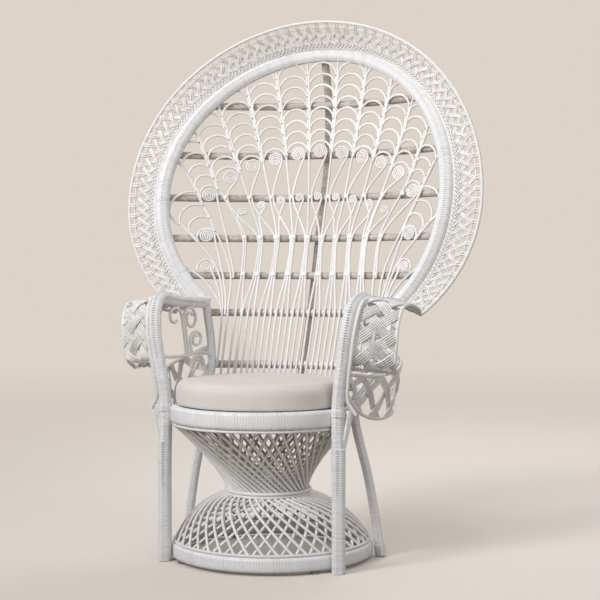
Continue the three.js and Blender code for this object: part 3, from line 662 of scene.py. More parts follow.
def border_frame(count):
    """The rim pole's middle line and the outer cane's line, at matching places along the border."""
    share = np.linspace(0.0, 1.0, count)
    pole = rim_point(RIM_END + (180 - 2 * RIM_END) * share)
    angle = np.radians(BORDER_END + (180 - 2 * BORDER_END) * share)
    lift = np.sin(angle)
    below = np.maximum(0.0, lift / math.sin(math.radians(BORDER_END)))
    radius = BORDER_RADIUS - BORDER_TAPER * below ** 2
    outer = np.stack([
        radius * np.cos(angle),
        pole[:, 1] - BORDER_FLARE_SIDE - BORDER_FLARE_TOP * lift ** 2,
        BORDER_CENTRE + radius * lift], axis=1)
    return pole, outer


def border_point(share, across, front=0.0):
    """Share along the border, share across it from the inner cane to the outer one, height off the lace."""
    share = np.clip(np.asarray(share, float), 0.0, 1.0)
    pole = spots(BORDER_POLE, share)
    reach = spots(BORDER_OUTER, share) - pole
    width = np.linalg.norm(reach, axis=1)[:, None]
    out = reach / width
    inner = POLE_RADIUS + BORDER_CLEAR
    place = pole + out * (inner + (width - inner) * np.asarray(across, float).reshape(-1, 1))
    face = unit(np.cross(out, unit(spots(np.gradient(BORDER_POLE, axis=0), share))))
    return place + face * np.asarray(front, float).reshape(-1, 1)


def border_line(across):
    """One cane that runs the whole border."""
    return border_point(np.linspace(0, 1, BORDER_STEPS), np.full(BORDER_STEPS, across))


BORDER_POLE, BORDER_OUTER = border_frame(BORDER_STATIONS)
canes("border_outer_cane", [border_line(1.0)], EDGE_CANE, CANE, stands_for=["border_outer_rod"], sides=8)
canes("border_inner_cane", [border_line(0.0)], HOOP_CANE, CANE)

# Lace: one cane's places across the border, along its repeat, and its dips under and over in millimetres

LACE_ACROSS = np.array([0.22, 0.33, 0.44, 0.55, 0.66, 0.78, 0.84])
LACE_SLIDE = np.array([-0.60, -0.36, -0.12, 0.12, 0.34, 0.50, 0.52])
LACE_DIP = np.array([2.2, 0.6, -2.4, -2.4, 0.8, 2.4, 2.4])
LACE_PAIR = 0.105
RUNG_START = 0.77
SECOND_CANE = 0.80
BRAID_MIDDLE = 0.13
BRAID_SWING = 0.085
BRAID_TURNS = 0.8


def border_lace():
    """Doubled canes cross in the middle, stand as rungs on the outer cane and end in an inner braid."""
    crossing, rungs = [], []
    step = 1.0 / LACE_PERIODS
    for n in range(LACE_PERIODS):
        for pair in (-LACE_PAIR, LACE_PAIR):
            middle = (n + 0.5 + pair) * step
            crossing.append(border_point(middle + LACE_SLIDE * step, LACE_ACROSS, LACE_DIP))
            crossing.append(border_point(middle - LACE_SLIDE * step, LACE_ACROSS, -LACE_DIP))
            foot = (n + pair) * step
            rungs.append(border_point([foot, foot], [RUNG_START, 1.0], [1.6, 0.0]))
    braid = []
    shares = np.linspace(0.0, 1.0, LACE_PERIODS * 8)
    for third in range(3):
        turn = 2 * math.pi * (shares * LACE_PERIODS * BRAID_TURNS + third / 3)
        swing = BRAID_MIDDLE + BRAID_SWING * np.sin(turn)
        braid.append(border_point(shares, swing, THIN_CANE * np.sin(2 * turn)))
    return crossing, rungs, braid


lace_crossing, lace_rungs, lace_braid = border_lace()
# The lace and braid take the darker cane copy, which is painted shade
canes("border_lace", lace_crossing, LACE_CANE, PAINTED_SHADE_CANE, sides=6,
      stands_for=["border_lattice_%d" % n for n in range(1, 7)])
canes("border_rungs", lace_rungs, LACE_CANE, CANE, sides=6)
canes("border_braid", lace_braid, LACE_CANE, PAINTED_SHADE_CANE, sides=6)
canes("border_second_cane", [border_line(SECOND_CANE)], THIN_CANE, CANE, sides=6)


BAR_SHORT = 4
LOWEST_BAR_STRAIGHT = 200
SIXTH_BAR_REACH = 282
SEVENTH_BAR_REACH = 250
LOWEST_BAR_END = (230, 102)


def bar_path(z):
    """The upper bars run to the rim, the sixth and seventh to the posts; the lowest turns forward."""
    if z == BAR_HEIGHTS[7]:
        flat = [(x, z) for x in np.linspace(-LOWEST_BAR_STRAIGHT, LOWEST_BAR_STRAIGHT, 9)]
        inner = on_back(flat, -BAR_BEHIND)
        x, y = LOWEST_BAR_END
        return smooth(np.vstack([[(-x, y, z + 2)], inner, [(x, y, z + 2)]]), BAR_STEPS)
    if z > BAR_HEIGHTS[5]:
        reach = math.sqrt(RIM_RADIUS ** 2 - (z - RIM_CENTRE) ** 2) - BAR_SHORT
    else:
        reach = SIXTH_BAR_REACH if z == BAR_HEIGHTS[5] else SEVENTH_BAR_REACH
    flat = np.stack([np.linspace(-reach, reach, BAR_STEPS), np.full(BAR_STEPS, z)], axis=1)
    return on_back(flat, -SEVENTH_BAR_BEHIND if z == BAR_HEIGHTS[6] else -BAR_BEHIND)


for index, height in enumerate(BAR_HEIGHTS):
    canes("crossbar_%d" % (index + 1), [bar_path(height)], BAR_RADIUS, WORN, sides=14,
          stands_for=["back_crossbar_%d" % (index + 1)])

brace_points = [(0, 466, 1425), (0, 486, 1380), (0, 504, 1310), (0, 510, 1240), (0, 496, 1100)]
for height, behind in ((930, 46), (740, 42), (545, 38), (452, 38)):
    brace_points.append((0, float(back_depth(0, height)) + behind, height))
brace_points.append((0, 214, 400))
bound("centre_brace_pole", [smooth(brace_points, 120)], 2 * BRACE_RADIUS, WORN, stands_for=["centre_brace"])


# Fan: columns of nested arches, spines, scrolls, stems and ties, laid out in the front view

SCROLL_EYES = (
    (0.0, 1136.0), (70.0, 1130.0), (138.0, 1114.0), (203.0, 1094.0), (264.0, 1058.0), (316.0, 1003.0),
    (312.0, 880.0), (306.0, 786.0))


def scroll_eye(j):
    x, z = SCROLL_EYES[abs(j)]
    return np.array([math.copysign(x, j), z])


def on_rim(degrees):
    """A place just inside the rim pole, by its angle from the top."""
    reach = RIM_RADIUS - POLE_RADIUS + RIM_BITE
    angle = math.radians(degrees)
    return np.array([reach * math.sin(angle), RIM_CENTRE + reach * math.cos(angle)])


def spiral(eye, outer, turns, handed, pitch):
    angle = np.linspace(0.0, 2 * math.pi * turns, int(CURL_STEPS * turns))
    reach = outer - pitch * angle / (2 * math.pi)
    return np.stack([eye[0] + handed * reach * np.cos(angle), eye[1] + reach * np.sin(angle)], axis=1)


# Below the arches the spines and the strands beside them run in bundles, then spread at the sixth bar

BUNDLE_GAP = 6.6
BUNDLE_STEP = 46.5
STRAND_GAP = 16.4
LOWER_CLOSER = 0.97
FOOT_CLOSER = 0.955
BAR_LEVELS = list(BAR_HEIGHTS[2:7]) + [STRAND_FOOT]


def spine_across(k):
    """X of a spine at the third to seventh bars and at its foot."""
    size = abs(k)
    sign = math.copysign(1.0, k)
    tangent = math.tan(math.radians(FEATHER_STEP * size))
    at_third = (BAR_HEIGHTS[2] - FAN_CENTRE) * tangent
    at_fourth = (BAR_HEIGHTS[3] - FAN_CENTRE) * tangent
    if size < 4:
        low = 3 * size * STRAND_GAP
        row = [at_third, at_fourth, BUNDLE_STEP * size, low, low * LOWER_CLOSER, low * FOOT_CLOSER]
    elif size < 5:
        row = [at_third, 214.0, 206.0, 207.5, 203.0, 200.0]
    else:
        row = [at_third * 0.985, 268.0, 236.0, 229.5, 222.6, 219.0]
    return [sign * x for x in row]


def strand(xs, first=1):
    return list(zip(xs[first:], BAR_LEVELS[first:]))


def spine_line(k):
    """A spine in the front view, from the rim down to its foot; k counts half columns from the middle."""
    size = abs(k)
    sign = math.copysign(1.0, k)
    if size < 5:
        beside = (scroll_eye(int(size - 0.5)) + scroll_eye(int(size + 0.5))) / 2 - (0.0, 12.0)
        points = [on_rim(SPINE_RIM_STEP * size), beside] + strand(spine_across(size), 0)
    elif size < 6:
        points = [on_rim(SPINE_RIM_STEP * size), (343.0, 1000.0), (292.0, 900.0)]
        points += strand(spine_across(size), 2)
    elif size < 7:
        points = [on_rim(98.0), (352.0, 880.0), (293.0, 811.0), (268.0, 765.0), (250.0, 700.0)]
        points += [(243.0, 630.0), (238.5, 560.0), (236.0, 507.0), (235.5, 495.0)]
    else:
        points = [on_rim(121.0), (333.0, 770.0), (300.0, 742.0), (272.0, 706.0), (254.0, 672.0)]
    return smooth(np.array([np.asarray(p, float) for p in points]), 160) * (sign, 1.0)


def up_spine(line, eye):
    """The stretch of a spine from beside a scroll's eye up to the rim, in even steps."""
    nearest = np.linalg.norm(line - eye, axis=1).argmin()
    return resampled(line[:nearest + 1][::-1], 60)


def arch_between(left, right, share, leg_share):
    """One arch standing on two spines, its legs running down beside them."""
    a, b = spots(left, share), spots(right, share)
    width = np.linalg.norm(b - a)
    across = (b - a) / width
    outward = np.array([-across[1], across[0]])
    inset = FAN_CANE * ARCH_INSET
    turn = np.linspace(0.0, math.pi, 15)[:, None]
    crown = (a + b) / 2 - across * (width / 2 - inset) * np.cos(turn)
    crown = crown + outward * ARCH_RISE * width * np.sin(turn)
    low = max(0.0, share - leg_share)
    first = spots(left, low) + across * inset
    last = spots(right, low) - across * inset
    return np.vstack([[first, (first + crown[0]) / 2], crown, [(last + crown[-1]) / 2, last]])


def column_arches(j):
    """Arches of one column, from its scroll up to the rim, with the pin at each right foot."""
    eye = scroll_eye(j)
    left = up_spine(spine_line(j - 0.5), eye)
    right = up_spine(spine_line(j + 0.5), eye)
    run = (np.linalg.norm(left[-1] - left[0]) + np.linalg.norm(right[-1] - right[0])) / 2
    arches, pins = [], []
    height = FIRST_ARCH
    while height < run - ARCH_ROOM * np.linalg.norm(right[-1] - left[-1]):
        flat = arch_between(left, right, height / run, ARCH_LEG / run)
        reach = np.hypot(flat[:, 0], flat[:, 1] - RIM_CENTRE)
        if reach.max() < RIM_RADIUS:
            arches.append(on_back(flat, 1.0 if len(arches) % 2 else -1.0))
            pins.append(flat[-3])
        height += ARCH_STEP
    return arches, pins


fan_arches = []
fan_pins = []
for j in range(-6, 7):
    column, pins = column_arches(j)
    fan_arches.extend(column)
    fan_pins.extend(pins)
for sign in (-1, 1):
    turn = np.linspace(-0.2, math.pi + 0.2, 17)
    lone = np.stack([LONE_ARCH[0] * np.cos(turn), LONE_ARCH[1] * np.sin(turn) - 4.0], axis=1)
    fan_arches.append(on_back(scroll_eye(7 * sign) + lone))
canes("fan_arches", fan_arches, FAN_CANE, CANE, sides=7,
      stands_for=["fan_feather_%d" % n for n in range(1, 16)])
fan_spines = [on_back(spine_line(step + 0.5)) for step in range(-8, 8)]
canes("fan_spines", fan_spines, FAN_CANE, CANE, sides=7)

# Scrolls: the upper row stands at the foot of each column, a small row hangs below it between the spines

SCROLL_REACH = 20.5
END_SCROLL_REACH = 15.0
SCROLL_TURN = 6.1
SCROLL_PITCH = 5.9
SCROLL_FRONT = 1.4
SMALL_REACH = 12.5
SMALL_TURNS = 2.1
SMALL_PITCH = 5.6
SMALL_ROW = 578.0
STEM_FRONT = 0.8
STEM_BESIDE = 9.5
STEM_TURN = 1000.0
EDGE_BESIDE = 8.0
CROSSING = 942.0
CROSSING_CLOSER = 0.965
STRAND_SPREAD = np.array([
    0, BUNDLE_GAP, BUNDLE_GAP, STRAND_GAP, LOWER_CLOSER * STRAND_GAP, FOOT_CLOSER * STRAND_GAP])
SIXTH_STEM = ((268.0, 800.0), (250.0, 735.0), (240.0, 690.0), (237.0, 656.0), (236.5, 643.0))
LAST_STEM = ((262.0, 715.0), (247.0, 650.0))


def crossing_point(left, right):
    """Where a stem passes between two spines."""
    return ((left[0] + right[0]) / 2 * CROSSING_CLOSER, CROSSING)


def upper_scroll(j):
    """A scroll under a column of arches, and its stem, which crosses over to run beside a spine."""
    eye = scroll_eye(j)
    reach = END_SCROLL_REACH if abs(j) == 7 else SCROLL_REACH
    handed = -1 if j >= 6 else 1
    scroll = on_back(spiral(eye, reach, reach / SCROLL_TURN, handed, SCROLL_PITCH), SCROLL_FRONT)
    leave = np.array([eye[0] + handed * reach, eye[1]])
    points = [leave + (0.0, 1.0), leave + (0.0, -4.0)]
    left, right = spine_across(j - 0.5), spine_across(j + 0.5)
    if abs(j) < 5:
        points.append((left[0] + STEM_BESIDE, STEM_TURN))
    if -4 <= j <= 3:
        points.append(crossing_point(left, right))
        points += strand((np.array(right) - STRAND_SPREAD).tolist())
    elif abs(j) <= 5:
        points += [(left[1] + EDGE_BESIDE, BAR_HEIGHTS[3]), (left[2] + EDGE_BESIDE, BAR_HEIGHTS[4])]
        points.append((left[2] + EDGE_BESIDE - 0.5, BAR_HEIGHTS[4] - 12.0))
    else:
        points += [(math.copysign(x, j), z) for x, z in (SIXTH_STEM if abs(j) == 6 else LAST_STEM)]
    return scroll, on_back(smooth(np.vstack(points), STEM_STEPS), STEM_FRONT)


def small_scroll(j):
    """A small scroll between two spines, and its stem, which crosses over to the other spine."""
    eye = polar(SMALL_ROW, FEATHER_STEP * j)
    scroll = on_back(spiral(eye, SMALL_REACH, SMALL_TURNS, 1, SMALL_PITCH), SCROLL_FRONT)
    left, right = spine_across(j - 0.5), spine_across(j + 0.5)
    points = [np.array([eye[0] + SMALL_REACH, eye[1] + 1.0]), np.array([eye[0] + 12.0, eye[1] - 5.0])]
    points.append(crossing_point(left, right))
    points += strand((np.array(left) + STRAND_SPREAD).tolist())
    return scroll, on_back(smooth(np.vstack(points), STEM_STEPS), -STEM_FRONT)


scrolls_and_stems = [upper_scroll(j) for j in range(-7, 8)] + [small_scroll(j) for j in range(-4, 5)]
fan_scrolls, fan_stems = zip(*scrolls_and_stems)
canes("fan_scrolls", fan_scrolls, SCROLL_CANE, CANE, sides=6)
canes("fan_stems", fan_stems, FAN_CANE, CANE, sides=7)


def pin_mesh(points):
    """Points just proud of the canes' front, each with the way that its nail head faces."""
    flat = np.vstack(points)
    place = on_back(flat, PIN_FRONT)
    outward = unit(place - on_back(flat))
    mesh = bpy.data.meshes.new("fan_pins")
    mesh.from_pydata(in_frame(place).tolist(), [], [])
    mesh.attributes.new("facing", "FLOAT_VECTOR", "POINT").data.foreach_set("vector", outward.ravel())
    return mesh


kept(grown("fan_pins", PINS, pin_mesh(fan_pins), {"Radius": PIN_HEAD * MM, "Material": STEEL}))

# Lashings: short windings that hold the strands to each other and to the bars

TIE_HALF = 5.0
TIE_FRONT = 0.4
TOP_TIE_ASIDE = 4.5
EDGE_TIE_ASIDE = 4.0
NARROW_TIE = (16.0, 9.0)
WIDE_TIE = (22.0, 9.0)
LASHING_HALF = 3.2
LASHED_STRANDS = 12
LASHED_BAR = 2 * BAR_RADIUS + 2.4


def fan_tie(x, level):
    return on_back([(x, level - TIE_HALF), (x, level + TIE_HALF)], TIE_FRONT)


narrow_ties, wide_ties = [], []
for step in range(-5, 5):
    k = step + 0.5
    xs = spine_across(k)
    narrow_ties.append(fan_tie(xs[0] + TOP_TIE_ASIDE, BAR_HEIGHTS[2]))
    for x, level in zip(xs[1:3], BAR_HEIGHTS[3:5]):
        if abs(k) < 4:
            wide_ties.append(fan_tie(x, level))
        else:
            narrow_ties.append(fan_tie(x + EDGE_TIE_ASIDE, level))
bound("fan_ties_narrow", narrow_ties, NARROW_TIE, TIES, pitch=TIE_PITCH, groove=TIE_GROOVE)
bound("fan_ties_wide", wide_ties, WIDE_TIE, TIES, pitch=TIE_PITCH, groove=TIE_GROOVE)

bar_sleeves = []
for level in BAR_HEIGHTS[5:]:
    line = bar_path(level)
    for n in range(-LASHED_STRANDS, LASHED_STRANDS + 1):
        x = n * STRAND_GAP * (1.0 if level == BAR_HEIGHTS[5] else LOWER_CLOSER)
        near = np.abs(line[:, 0] - x).argmin()
        middle = np.array([x, np.interp(x, line[:, 0], line[:, 1]), line[near, 2]])
        bar_sleeves.append([middle + (-LASHING_HALF, 0, 0), middle + (LASHING_HALF, 0, 0)])
bound("bar_lashings", bar_sleeves, LASHED_BAR, TIES, pitch=LASHING_HALF, groove=TIE_GROOVE)


# Arms, posts, scrolls and the woven wings, drawn for the right side and mirrored for the left

arm_line = smooth([
    (241, -168, 0), (241, -168, 250), (241, -168, 430), (257, -176, 545), (267, -176, 622),
    (274, -155, 676), (281, -108, 700), (289, -20, 692), (294, 90, 685), (294, 160, 682),
    (292, 222, 682)], 200)
post_line = smooth([
    (287.8, 74, 2.0), (257, 66, 200), (219, 56, 372), (219, 56, 418), (238, 132, 475), (254, 182, 515),
    (274, 214, 600), (286, 222, 650), (290, 226, 673)], 140)
wing_inner = smooth([
    (302, 175, 686), (303, 60, 694), (296, -40, 699), (288, -120, 700), (282, -160, 665), (276, -180, 610),
    (268, -176, 550), (264, -140, 515)], 120)
wing_outer = smooth([
    (370, 184, 652), (394, 60, 672), (396, -40, 684), (392, -95, 676), (388, -122, 640), (384, -128, 580),
    (378, -118, 530), (370, -85, 506)], 120)
apron_top = smooth([
    (256, -158, 508), (300, -40, 496), (334, 60, 505), (316, 165, 530), (268, 200, 556)], 100)
apron_foot = smooth([
    (252, -162, 476), (276, -90, 404), (306, 20, 380), (314, 105, 398), (276, 156, 462),
    (242, 137, 482)], 100)
low_arch = smooth([
    (255, -170, 545), (262, -80, 538), (264, 20, 536), (262, 120, 540), (258, 182, 528)], 60)


CURL_WANE = 0.58
WEAVE_STEPS = 26
WEAVE_FEWEST = 4
LOW_ROUND_CENTRE = (262.0, 96.0, 499.0)


def arm_scroll(stem, centre, size, turns, start, across):
    """A stem that ends in a flattened curl in the arm's side plane."""
    share = np.linspace(0.0, 1.0, 48)
    angle = np.radians(start + 360 * turns * share)
    wane = 1 - CURL_WANE * share
    rise = size[1] * wane * np.sin(angle)
    curl = np.stack([
        centre[0] + rise * across, centre[1] + size[0] * wane * np.cos(angle), centre[2] + rise], axis=1)
    return smooth(np.vstack([stem, curl[1:]]), 100)


def woven_bands(first, second, spacing, strands, gap, lift):
    """Flat bands of canes woven over and under on the sheet between two edge lines."""
    length = np.linalg.norm(np.diff((first + second) / 2, axis=0), axis=1).sum()
    width = np.linalg.norm(second - first, axis=1).mean()
    runs = np.gradient(first + second, axis=0)

    def sheet(s, t, off):
        share = np.clip(s / length, 0.0, 1.0)
        edge = spots(first, share)
        across = spots(second, share) - edge
        face = unit(np.cross(spots(runs, share), across))
        return edge + across * (t / width)[:, None] + face * off[:, None]

    bands = []
    last = int((length + width) / spacing) + 1
    for handed in (1, -1):
        for n in range(-last, last + 1):
            for row in range(strands):
                side = (row - (strands - 1) / 2) * gap * math.sqrt(2)
                t = np.linspace(0.0, width, WEAVE_STEPS)
                s = n * spacing + handed * t + side
                inside = (s >= 0.0) & (s <= length)
                if inside.sum() < WEAVE_FEWEST:
                    continue
                s, t = s[inside], t[inside]
                wave = np.cos(math.pi * (s + handed * t) / spacing)
                off = handed * (-1) ** n * lift * wave
                bands.append(sheet(s, t, off))
    return bands


def low_round(size):
    """A half round under the low arch, in the arm's side plane."""
    x, y, z = LOW_ROUND_CENTRE
    angle = np.linspace(0.0, math.pi, 24)
    return np.stack([np.full(24, x), y + size[0] * np.cos(angle), z + size[1] * np.sin(angle)], axis=1)


scroll_lines = [
    low_arch, low_round((46.0, 32.0)), low_round((36.0, 22.0)),
    arm_scroll([(264, 22, 537), (270, 21, 590), (275, 20, 630)], (277, -28, 645), (47, 30), 0.85, 0, 0.05),
    arm_scroll([(264, 34, 537), (270, 35, 590), (275, 36, 622)], (278, 82, 638), (46, 34), -1.4, 180, 0.05),
    arm_scroll([(264, 58, 540), (265, 56, 556)], (268, 100, 578), (44, 25), -1.35, 195, 0.03)]
wing_bands = woven_bands(wing_inner, wing_outer, spacing=60.0, strands=5, gap=5.2, lift=3.6)
apron_bands = woven_bands(apron_top, apron_foot, spacing=80.0, strands=4, gap=5.4, lift=3.2)
beside_arm = smooth([
    (303, -96, 704), (297, -148, 686), (290, -177, 632), (280, -180, 560), (270, -174, 490),
    (267, -165, 440), (286, -157, 405)], 90)
leg_second = smooth([(268, -158, 416), (264, -159, 380), (256, -163, 340), (249, -167, 300)], 30)
lower_leg = smooth([(242.5, -167.5, 1.0), (242.5, -167.5, 150), (243, -167.5, 318)], 20)
seat_lashing = [(241, -168, 400), (241, -168, 416)]
rear_foot = [(287.6, 73.9, 3.0), (283.0, 72.6, 32.0)]

# One side's pieces: paths, thickness, and the solid that each stands for or how it is wound

SIDE_POLES = (
    ("arm", arm_line, 2 * ARM_RADIUS, "arm_pole"),
    ("rear_post", post_line, 2 * POST_RADIUS, "rear_leg"))
# The woven bands of the wings and aprons take the darker cane copy, which is painted shade
SIDE_CANES = (
    ("wing_bands", wing_bands, BAND_STRAND, PAINTED_SHADE_CANE, 5, ["wing_weave"]),
    ("wing_edges", [wing_inner, wing_outer], EDGE_CANE, CANE, 8, ["wing_rod"]),
    ("apron_bands", apron_bands, BAND_STRAND, PAINTED_SHADE_CANE, 5, ["apron_weave"]),
    ("apron_edges", [apron_top, apron_foot], EDGE_CANE, CANE, 8, ["apron_rod"]),
    ("arm_scrolls", scroll_lines, CURL_CANE, CANE, 8, ["arm_scroll"]),
    ("arm_outer_cane", [beside_arm], BESIDE_CANE, CANE, 8, []))
SIDE_WINDINGS = (
    ("leg_second", leg_second, 17.0, WRAP_PITCH, WRAP_GROOVE),
    ("lower_leg", lower_leg, (37.0, 36.0), WRAP_PITCH, 0.9),
    ("seat_lashing", seat_lashing, 38.0, 4.0, 0.8),
    ("rear_foot_lashing", rear_foot, 31.0, 5.0, 0.9))


def on_side(paths, hand):
    """Paths drawn for the right side, kept there or turned over for the left."""
    return [np.asarray(path) * (hand, 1.0, 1.0) for path in paths]


for side, hand in (("right_", 1.0), ("left_", -1.0)):
    for name, path, size, node in SIDE_POLES:
        bound(side + name, on_side([path], hand), size, WRAP, stands_for=[side + node])
    for name, paths, radius, material, sides, nodes in SIDE_CANES:
        canes(side + name, on_side(paths, hand), radius, material, sides=sides,
              stands_for=[side + node for node in nodes])
    for name, path, size, pitch, groove in SIDE_WINDINGS:
        bound(side + name, on_side([path], hand), size, WRAP, pitch=pitch, groove=groove)


# Solids that stay as they are get their finish

def finish_node(name, material):
    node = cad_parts[name]
    node.data.materials.clear()
    node.data.materials.append(material)


for number in range(1, 5):
    finish_node("base_glide_%d" % number, GLIDE)
finish_node("seat_deck", PLY)
finish_node("seat_bearer", PLY)


# Cushion: a round boxed pad, blown up a little by its filling

PAD_PROFILE = (
    (0.0, 0.0), (0.50, 0.0), (0.90, 0.0), (0.965, 0.04), (0.985, 0.18), (0.99, 0.47), (0.985, 0.74),
    (0.965, 0.88), (0.91, 0.945), (0.78, 0.965), (0.45, 0.975), (0.0, 0.98))
PAD_SIDES = 120
PAD_ROWS = 50
PAD_INSET = 3.0
PAD_LIFT = 1.5
PAD_REST = 3.0
PAD_STEPS = 24
PAD_CAP = 9.0
PAD_LOWEST = 0.8
PAD_CROWN = 4.0
SEAM_HEIGHTS = (0.80, 0.12)
SEAM_SINK = 0.6
SEAM_STEPS = 180
SEAM_OUTSIDE = 0.4
COVER = {
    "vertex_group_mass": "resting", "quality": 10, "mass": 0.2, "tension_stiffness": 30,
    "compression_stiffness": 30, "shear_stiffness": 15, "bending_stiffness": 4.0, "use_pressure": True,
    "uniform_pressure_force": 3.2}


def pad_blank():
    """The cover before filling, a little small: even rows of quads round its middle."""
    corners, faces = [], []
    sides = PAD_SIDES
    foot = SEAT_TOP + PAD_LIFT
    rows = resampled(np.array(PAD_PROFILE) * (CUSHION_RADIUS - PAD_INSET, CUSHION_THICK), PAD_ROWS)
    for reach, rise in rows[1:-1]:
        for n in range(sides):
            angle = 2 * math.pi * n / sides
            corners.append((reach * math.cos(angle), SEAT_Y + reach * math.sin(angle), foot + rise))
    count = len(rows) - 2
    for r in range(count - 1):
        for n in range(sides):
            m = (n + 1) % sides
            faces.append((r * sides + n, r * sides + m, (r + 1) * sides + m, (r + 1) * sides + n))
    faces.append(tuple(reversed(range(sides))))
    faces.append(tuple(range((count - 1) * sides, count * sides)))
    mesh = bpy.data.meshes.new("cushion")
    mesh.from_pydata(in_frame(corners).tolist(), [], faces)
    return linked("cushion", mesh)


def filled(pad, cap):
    """The filling swells the cover while its underside rests on the seat; no point moves past the cap."""
    rest = np.array([v.co for v in pad.data.vertices])
    resting = pad.vertex_groups.new(name="resting")
    low = np.nonzero(rest[:, 2] < (SEAT_TOP + PAD_REST) * MM)[0]
    resting.add(low.tolist(), 1.0, "REPLACE")
    cloth = pad.modifiers.new("filling", "CLOTH")
    for key, value in COVER.items():
        setattr(cloth.settings, key, value)
    cloth.settings.effector_weights.gravity = 0.2
    cloth.point_cache.frame_start = 1
    cloth.point_cache.frame_end = PAD_STEPS + 2
    scene = bpy.context.scene
    for step in range(1, PAD_STEPS + 1):
        scene.frame_set(step)
        bpy.context.view_layer.update()
    made_real(pad)
    scene.frame_set(1)
    moved = np.array([v.co for v in pad.data.vertices])
    shift = moved - rest
    size = np.linalg.norm(shift, axis=1)[:, None]
    moved = rest + shift * np.minimum(1.0, cap / np.maximum(size, 1e-9))
    highest = SEAT_TOP + CUSHION_THICK + PAD_CROWN
    moved[:, 2] = np.clip(moved[:, 2], (SEAT_TOP + PAD_LOWEST) * MM, highest * MM)
    pad.data.vertices.foreach_set("co", moved.ravel())
    pad.data.update()


def seated_pad():
    pad = pad_blank()
    filled(pad, PAD_CAP * MM)
    rounded = pad.modifiers.new("rounded", "SUBSURF")
    rounded.levels = 1
    rounded.render_levels = 1
    made_real(pad)
    pad.vertex_groups.clear()
    pad.data.materials.clear()
    pad.data.materials.append(CANVAS)
    pad.data.polygons.foreach_set("use_smooth", [True] * len(pad.data.polygons))
    return pad


cushion = seated_pad()
kept(cushion, ["seat_cushion"], "cushion")


def seam_lines():
    """Fine rows of stitching where the top and bottom panels meet the side band."""
    shape = bmesh.new()
    shape.from_mesh(cushion.data)
    tree = BVHTree.FromBMesh(shape)
    lines = []
    for rise in SEAM_HEIGHTS:
        line = []
        middle = Vector((0.0, SEAT_Y * MM + ROW_Y, (SEAT_TOP + rise * CUSHION_THICK) * MM))
        for n in range(SEAM_STEPS):
            angle = 2 * math.pi * n / SEAM_STEPS
            out = Vector((math.cos(angle), math.sin(angle), 0.0))
            hit = tree.ray_cast(middle + out * SEAM_OUTSIDE, -out)[0]
            line.append((hit - out * SEAM_SINK * MM) / MM - Vector((0.0, ROW_Y / MM, 0.0)))
        lines.append(np.array(line))
    shape.free()
    return lines


canes("cushion_seams", seam_lines(), SEAM_THREAD, CANVAS, sides=6, closed=True,
      body="cushion")


# Floor, light and camera

FLOOR_RADIUS = 40.0
FLOOR_SIDES = 64
FLOOR_BOUNCE = "#8F857C"
FLOOR_SWEEP = (1.2, 7.0)
WORLD_COLOUR = (0.985, 0.98, 0.985, 1.0)
WORLD_LIGHT = 0.48
BACKDROP = "#DDD3C8"
CAMERA_TURN = 19.0
CAMERA_LENS = 79.3
CAMERA_SENSOR = 36.0
CAMERA_SHIFT = -25.0 / 600.0
CAMERA_PLACE = (1.2467, -3.3856, 0.762)


def surfaced(tree, end, share, first, second):
    both = result(tree, "ShaderNodeMixShader", {0: share, 1: first.outputs[0], 2: second.outputs[0]})
    tree.links.new(both, tree.nodes[end].inputs["Surface"])


def studio_floor():
    """Matt pale floor that runs out into the backdrop's tone, so that no edge shows behind the chair."""
    material, tree, shader, place = open_material("pale_studio_floor", 0.9)
    mottle = stepped(tree, grain(tree, place, 600.0), 0.2, 0.8)
    seen = add_node(tree, "ShaderNodeLightPath").outputs["Is Camera Ray"]
    pale = blended(tree, mottle, linear("#EFE7DE"), linear("#ECE4DB"))
    tree.links.new(blended(tree, seen, linear(FLOOR_BOUNCE), pale), shader.inputs["Base Color"])
    out = add_node(tree, "ShaderNodeVectorMath", {0: place}, operation="LENGTH").outputs["Value"]
    sweep = calc(tree, "MULTIPLY", stepped(tree, out, *FLOOR_SWEEP), seen)
    drop = add_node(tree, "ShaderNodeEmission", {"Color": linear(BACKDROP), "Strength": 1.0})
    surfaced(tree, "Material Output", sweep, shader, drop)
    mesh = bpy.data.meshes.new("studio_floor")
    corners = ring_path(FLOOR_RADIUS, 0.0, 0.0, FLOOR_SIDES)
    mesh.from_pydata(corners.tolist(), [], [tuple(range(FLOOR_SIDES))])
    mesh.materials.append(material)
    floor = linked("studio_floor", mesh)


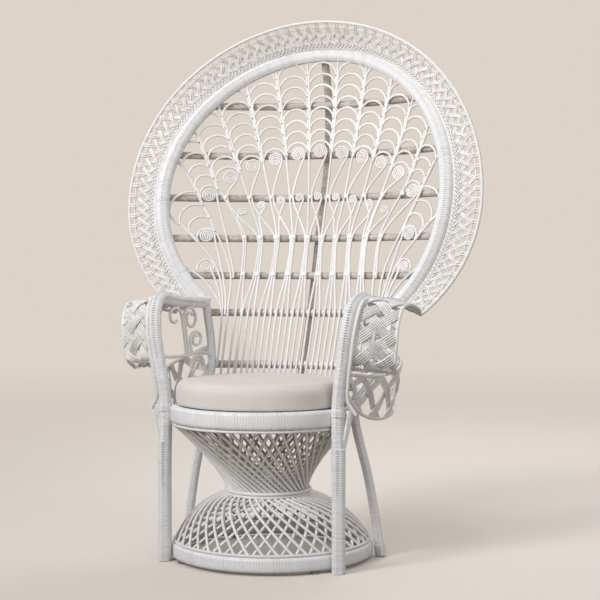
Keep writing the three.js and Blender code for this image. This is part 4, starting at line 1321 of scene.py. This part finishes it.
def hung_lamp(name, kind, place, target, **settings):
    """A lamp that faces its target."""
    lamp = bpy.data.lights.new(name, kind)
    for key, value in settings.items():
        setattr(lamp, key, value)
    made = linked(name, lamp)
    made.location = place
    made.rotation_mode = "QUATERNION"
    made.rotation_quaternion = (Vector(target) - Vector(place)).to_track_quat("-Z", "Y")


studio_floor()
hung_lamp("key_light", "SUN", (-1.6, -2.6, 3.0), (0.0, 0.0, 0.8), angle=math.radians(16.0), energy=0.92,
          color=(0.95, 0.98, 1.0))
hung_lamp("front_lamp", "AREA", (-1.2, -2.8, 2.2), (0.0, 0.1, 1.5), size=1.4, energy=11.4,
          spread=math.radians(70.0))
hung_lamp("fill_lamp", "AREA", (2.9, -2.0, 1.3), (0.0, 0.0, 0.8), size=2.4, energy=14.0)
hung_lamp("back_lamp", "AREA", (0.6, 2.6, 2.9), (0.0, 0.0, 0.9), size=1.8, energy=26.0)


def studio_world():
    """Even light from all round; the eye, gloss and glass see a plain pale backdrop instead."""
    world = bpy.data.worlds.new("studio_world")
    world.use_nodes = True
    tree = world.node_tree
    even = tree.nodes["Background"]
    even.inputs["Color"].default_value = WORLD_COLOUR
    even.inputs["Strength"].default_value = WORLD_LIGHT
    drop = add_node(tree, "ShaderNodeBackground", {"Color": linear(BACKDROP), "Strength": 1.0})
    ray = add_node(tree, "ShaderNodeLightPath").outputs
    seen = calc(tree, "MAXIMUM", ray["Is Camera Ray"], ray["Is Glossy Ray"])
    seen = calc(tree, "MAXIMUM", seen, ray["Is Transmission Ray"])
    surfaced(tree, "World Output", seen, even, drop)
    return world


scene = bpy.context.scene
scene.world = studio_world()
scene.view_settings.view_transform = "Standard"

camera = linked("camera", bpy.data.cameras.new("camera"))
camera.data.sensor_width = CAMERA_SENSOR
camera.data.lens = CAMERA_LENS
camera.data.shift_y = CAMERA_SHIFT
camera.location = (CAMERA_PLACE[0], CAMERA_PLACE[1] + ROW_Y, CAMERA_PLACE[2])
camera.rotation_euler = (math.pi / 2, 0.0, math.radians(CAMERA_TURN))
scene.camera = camera
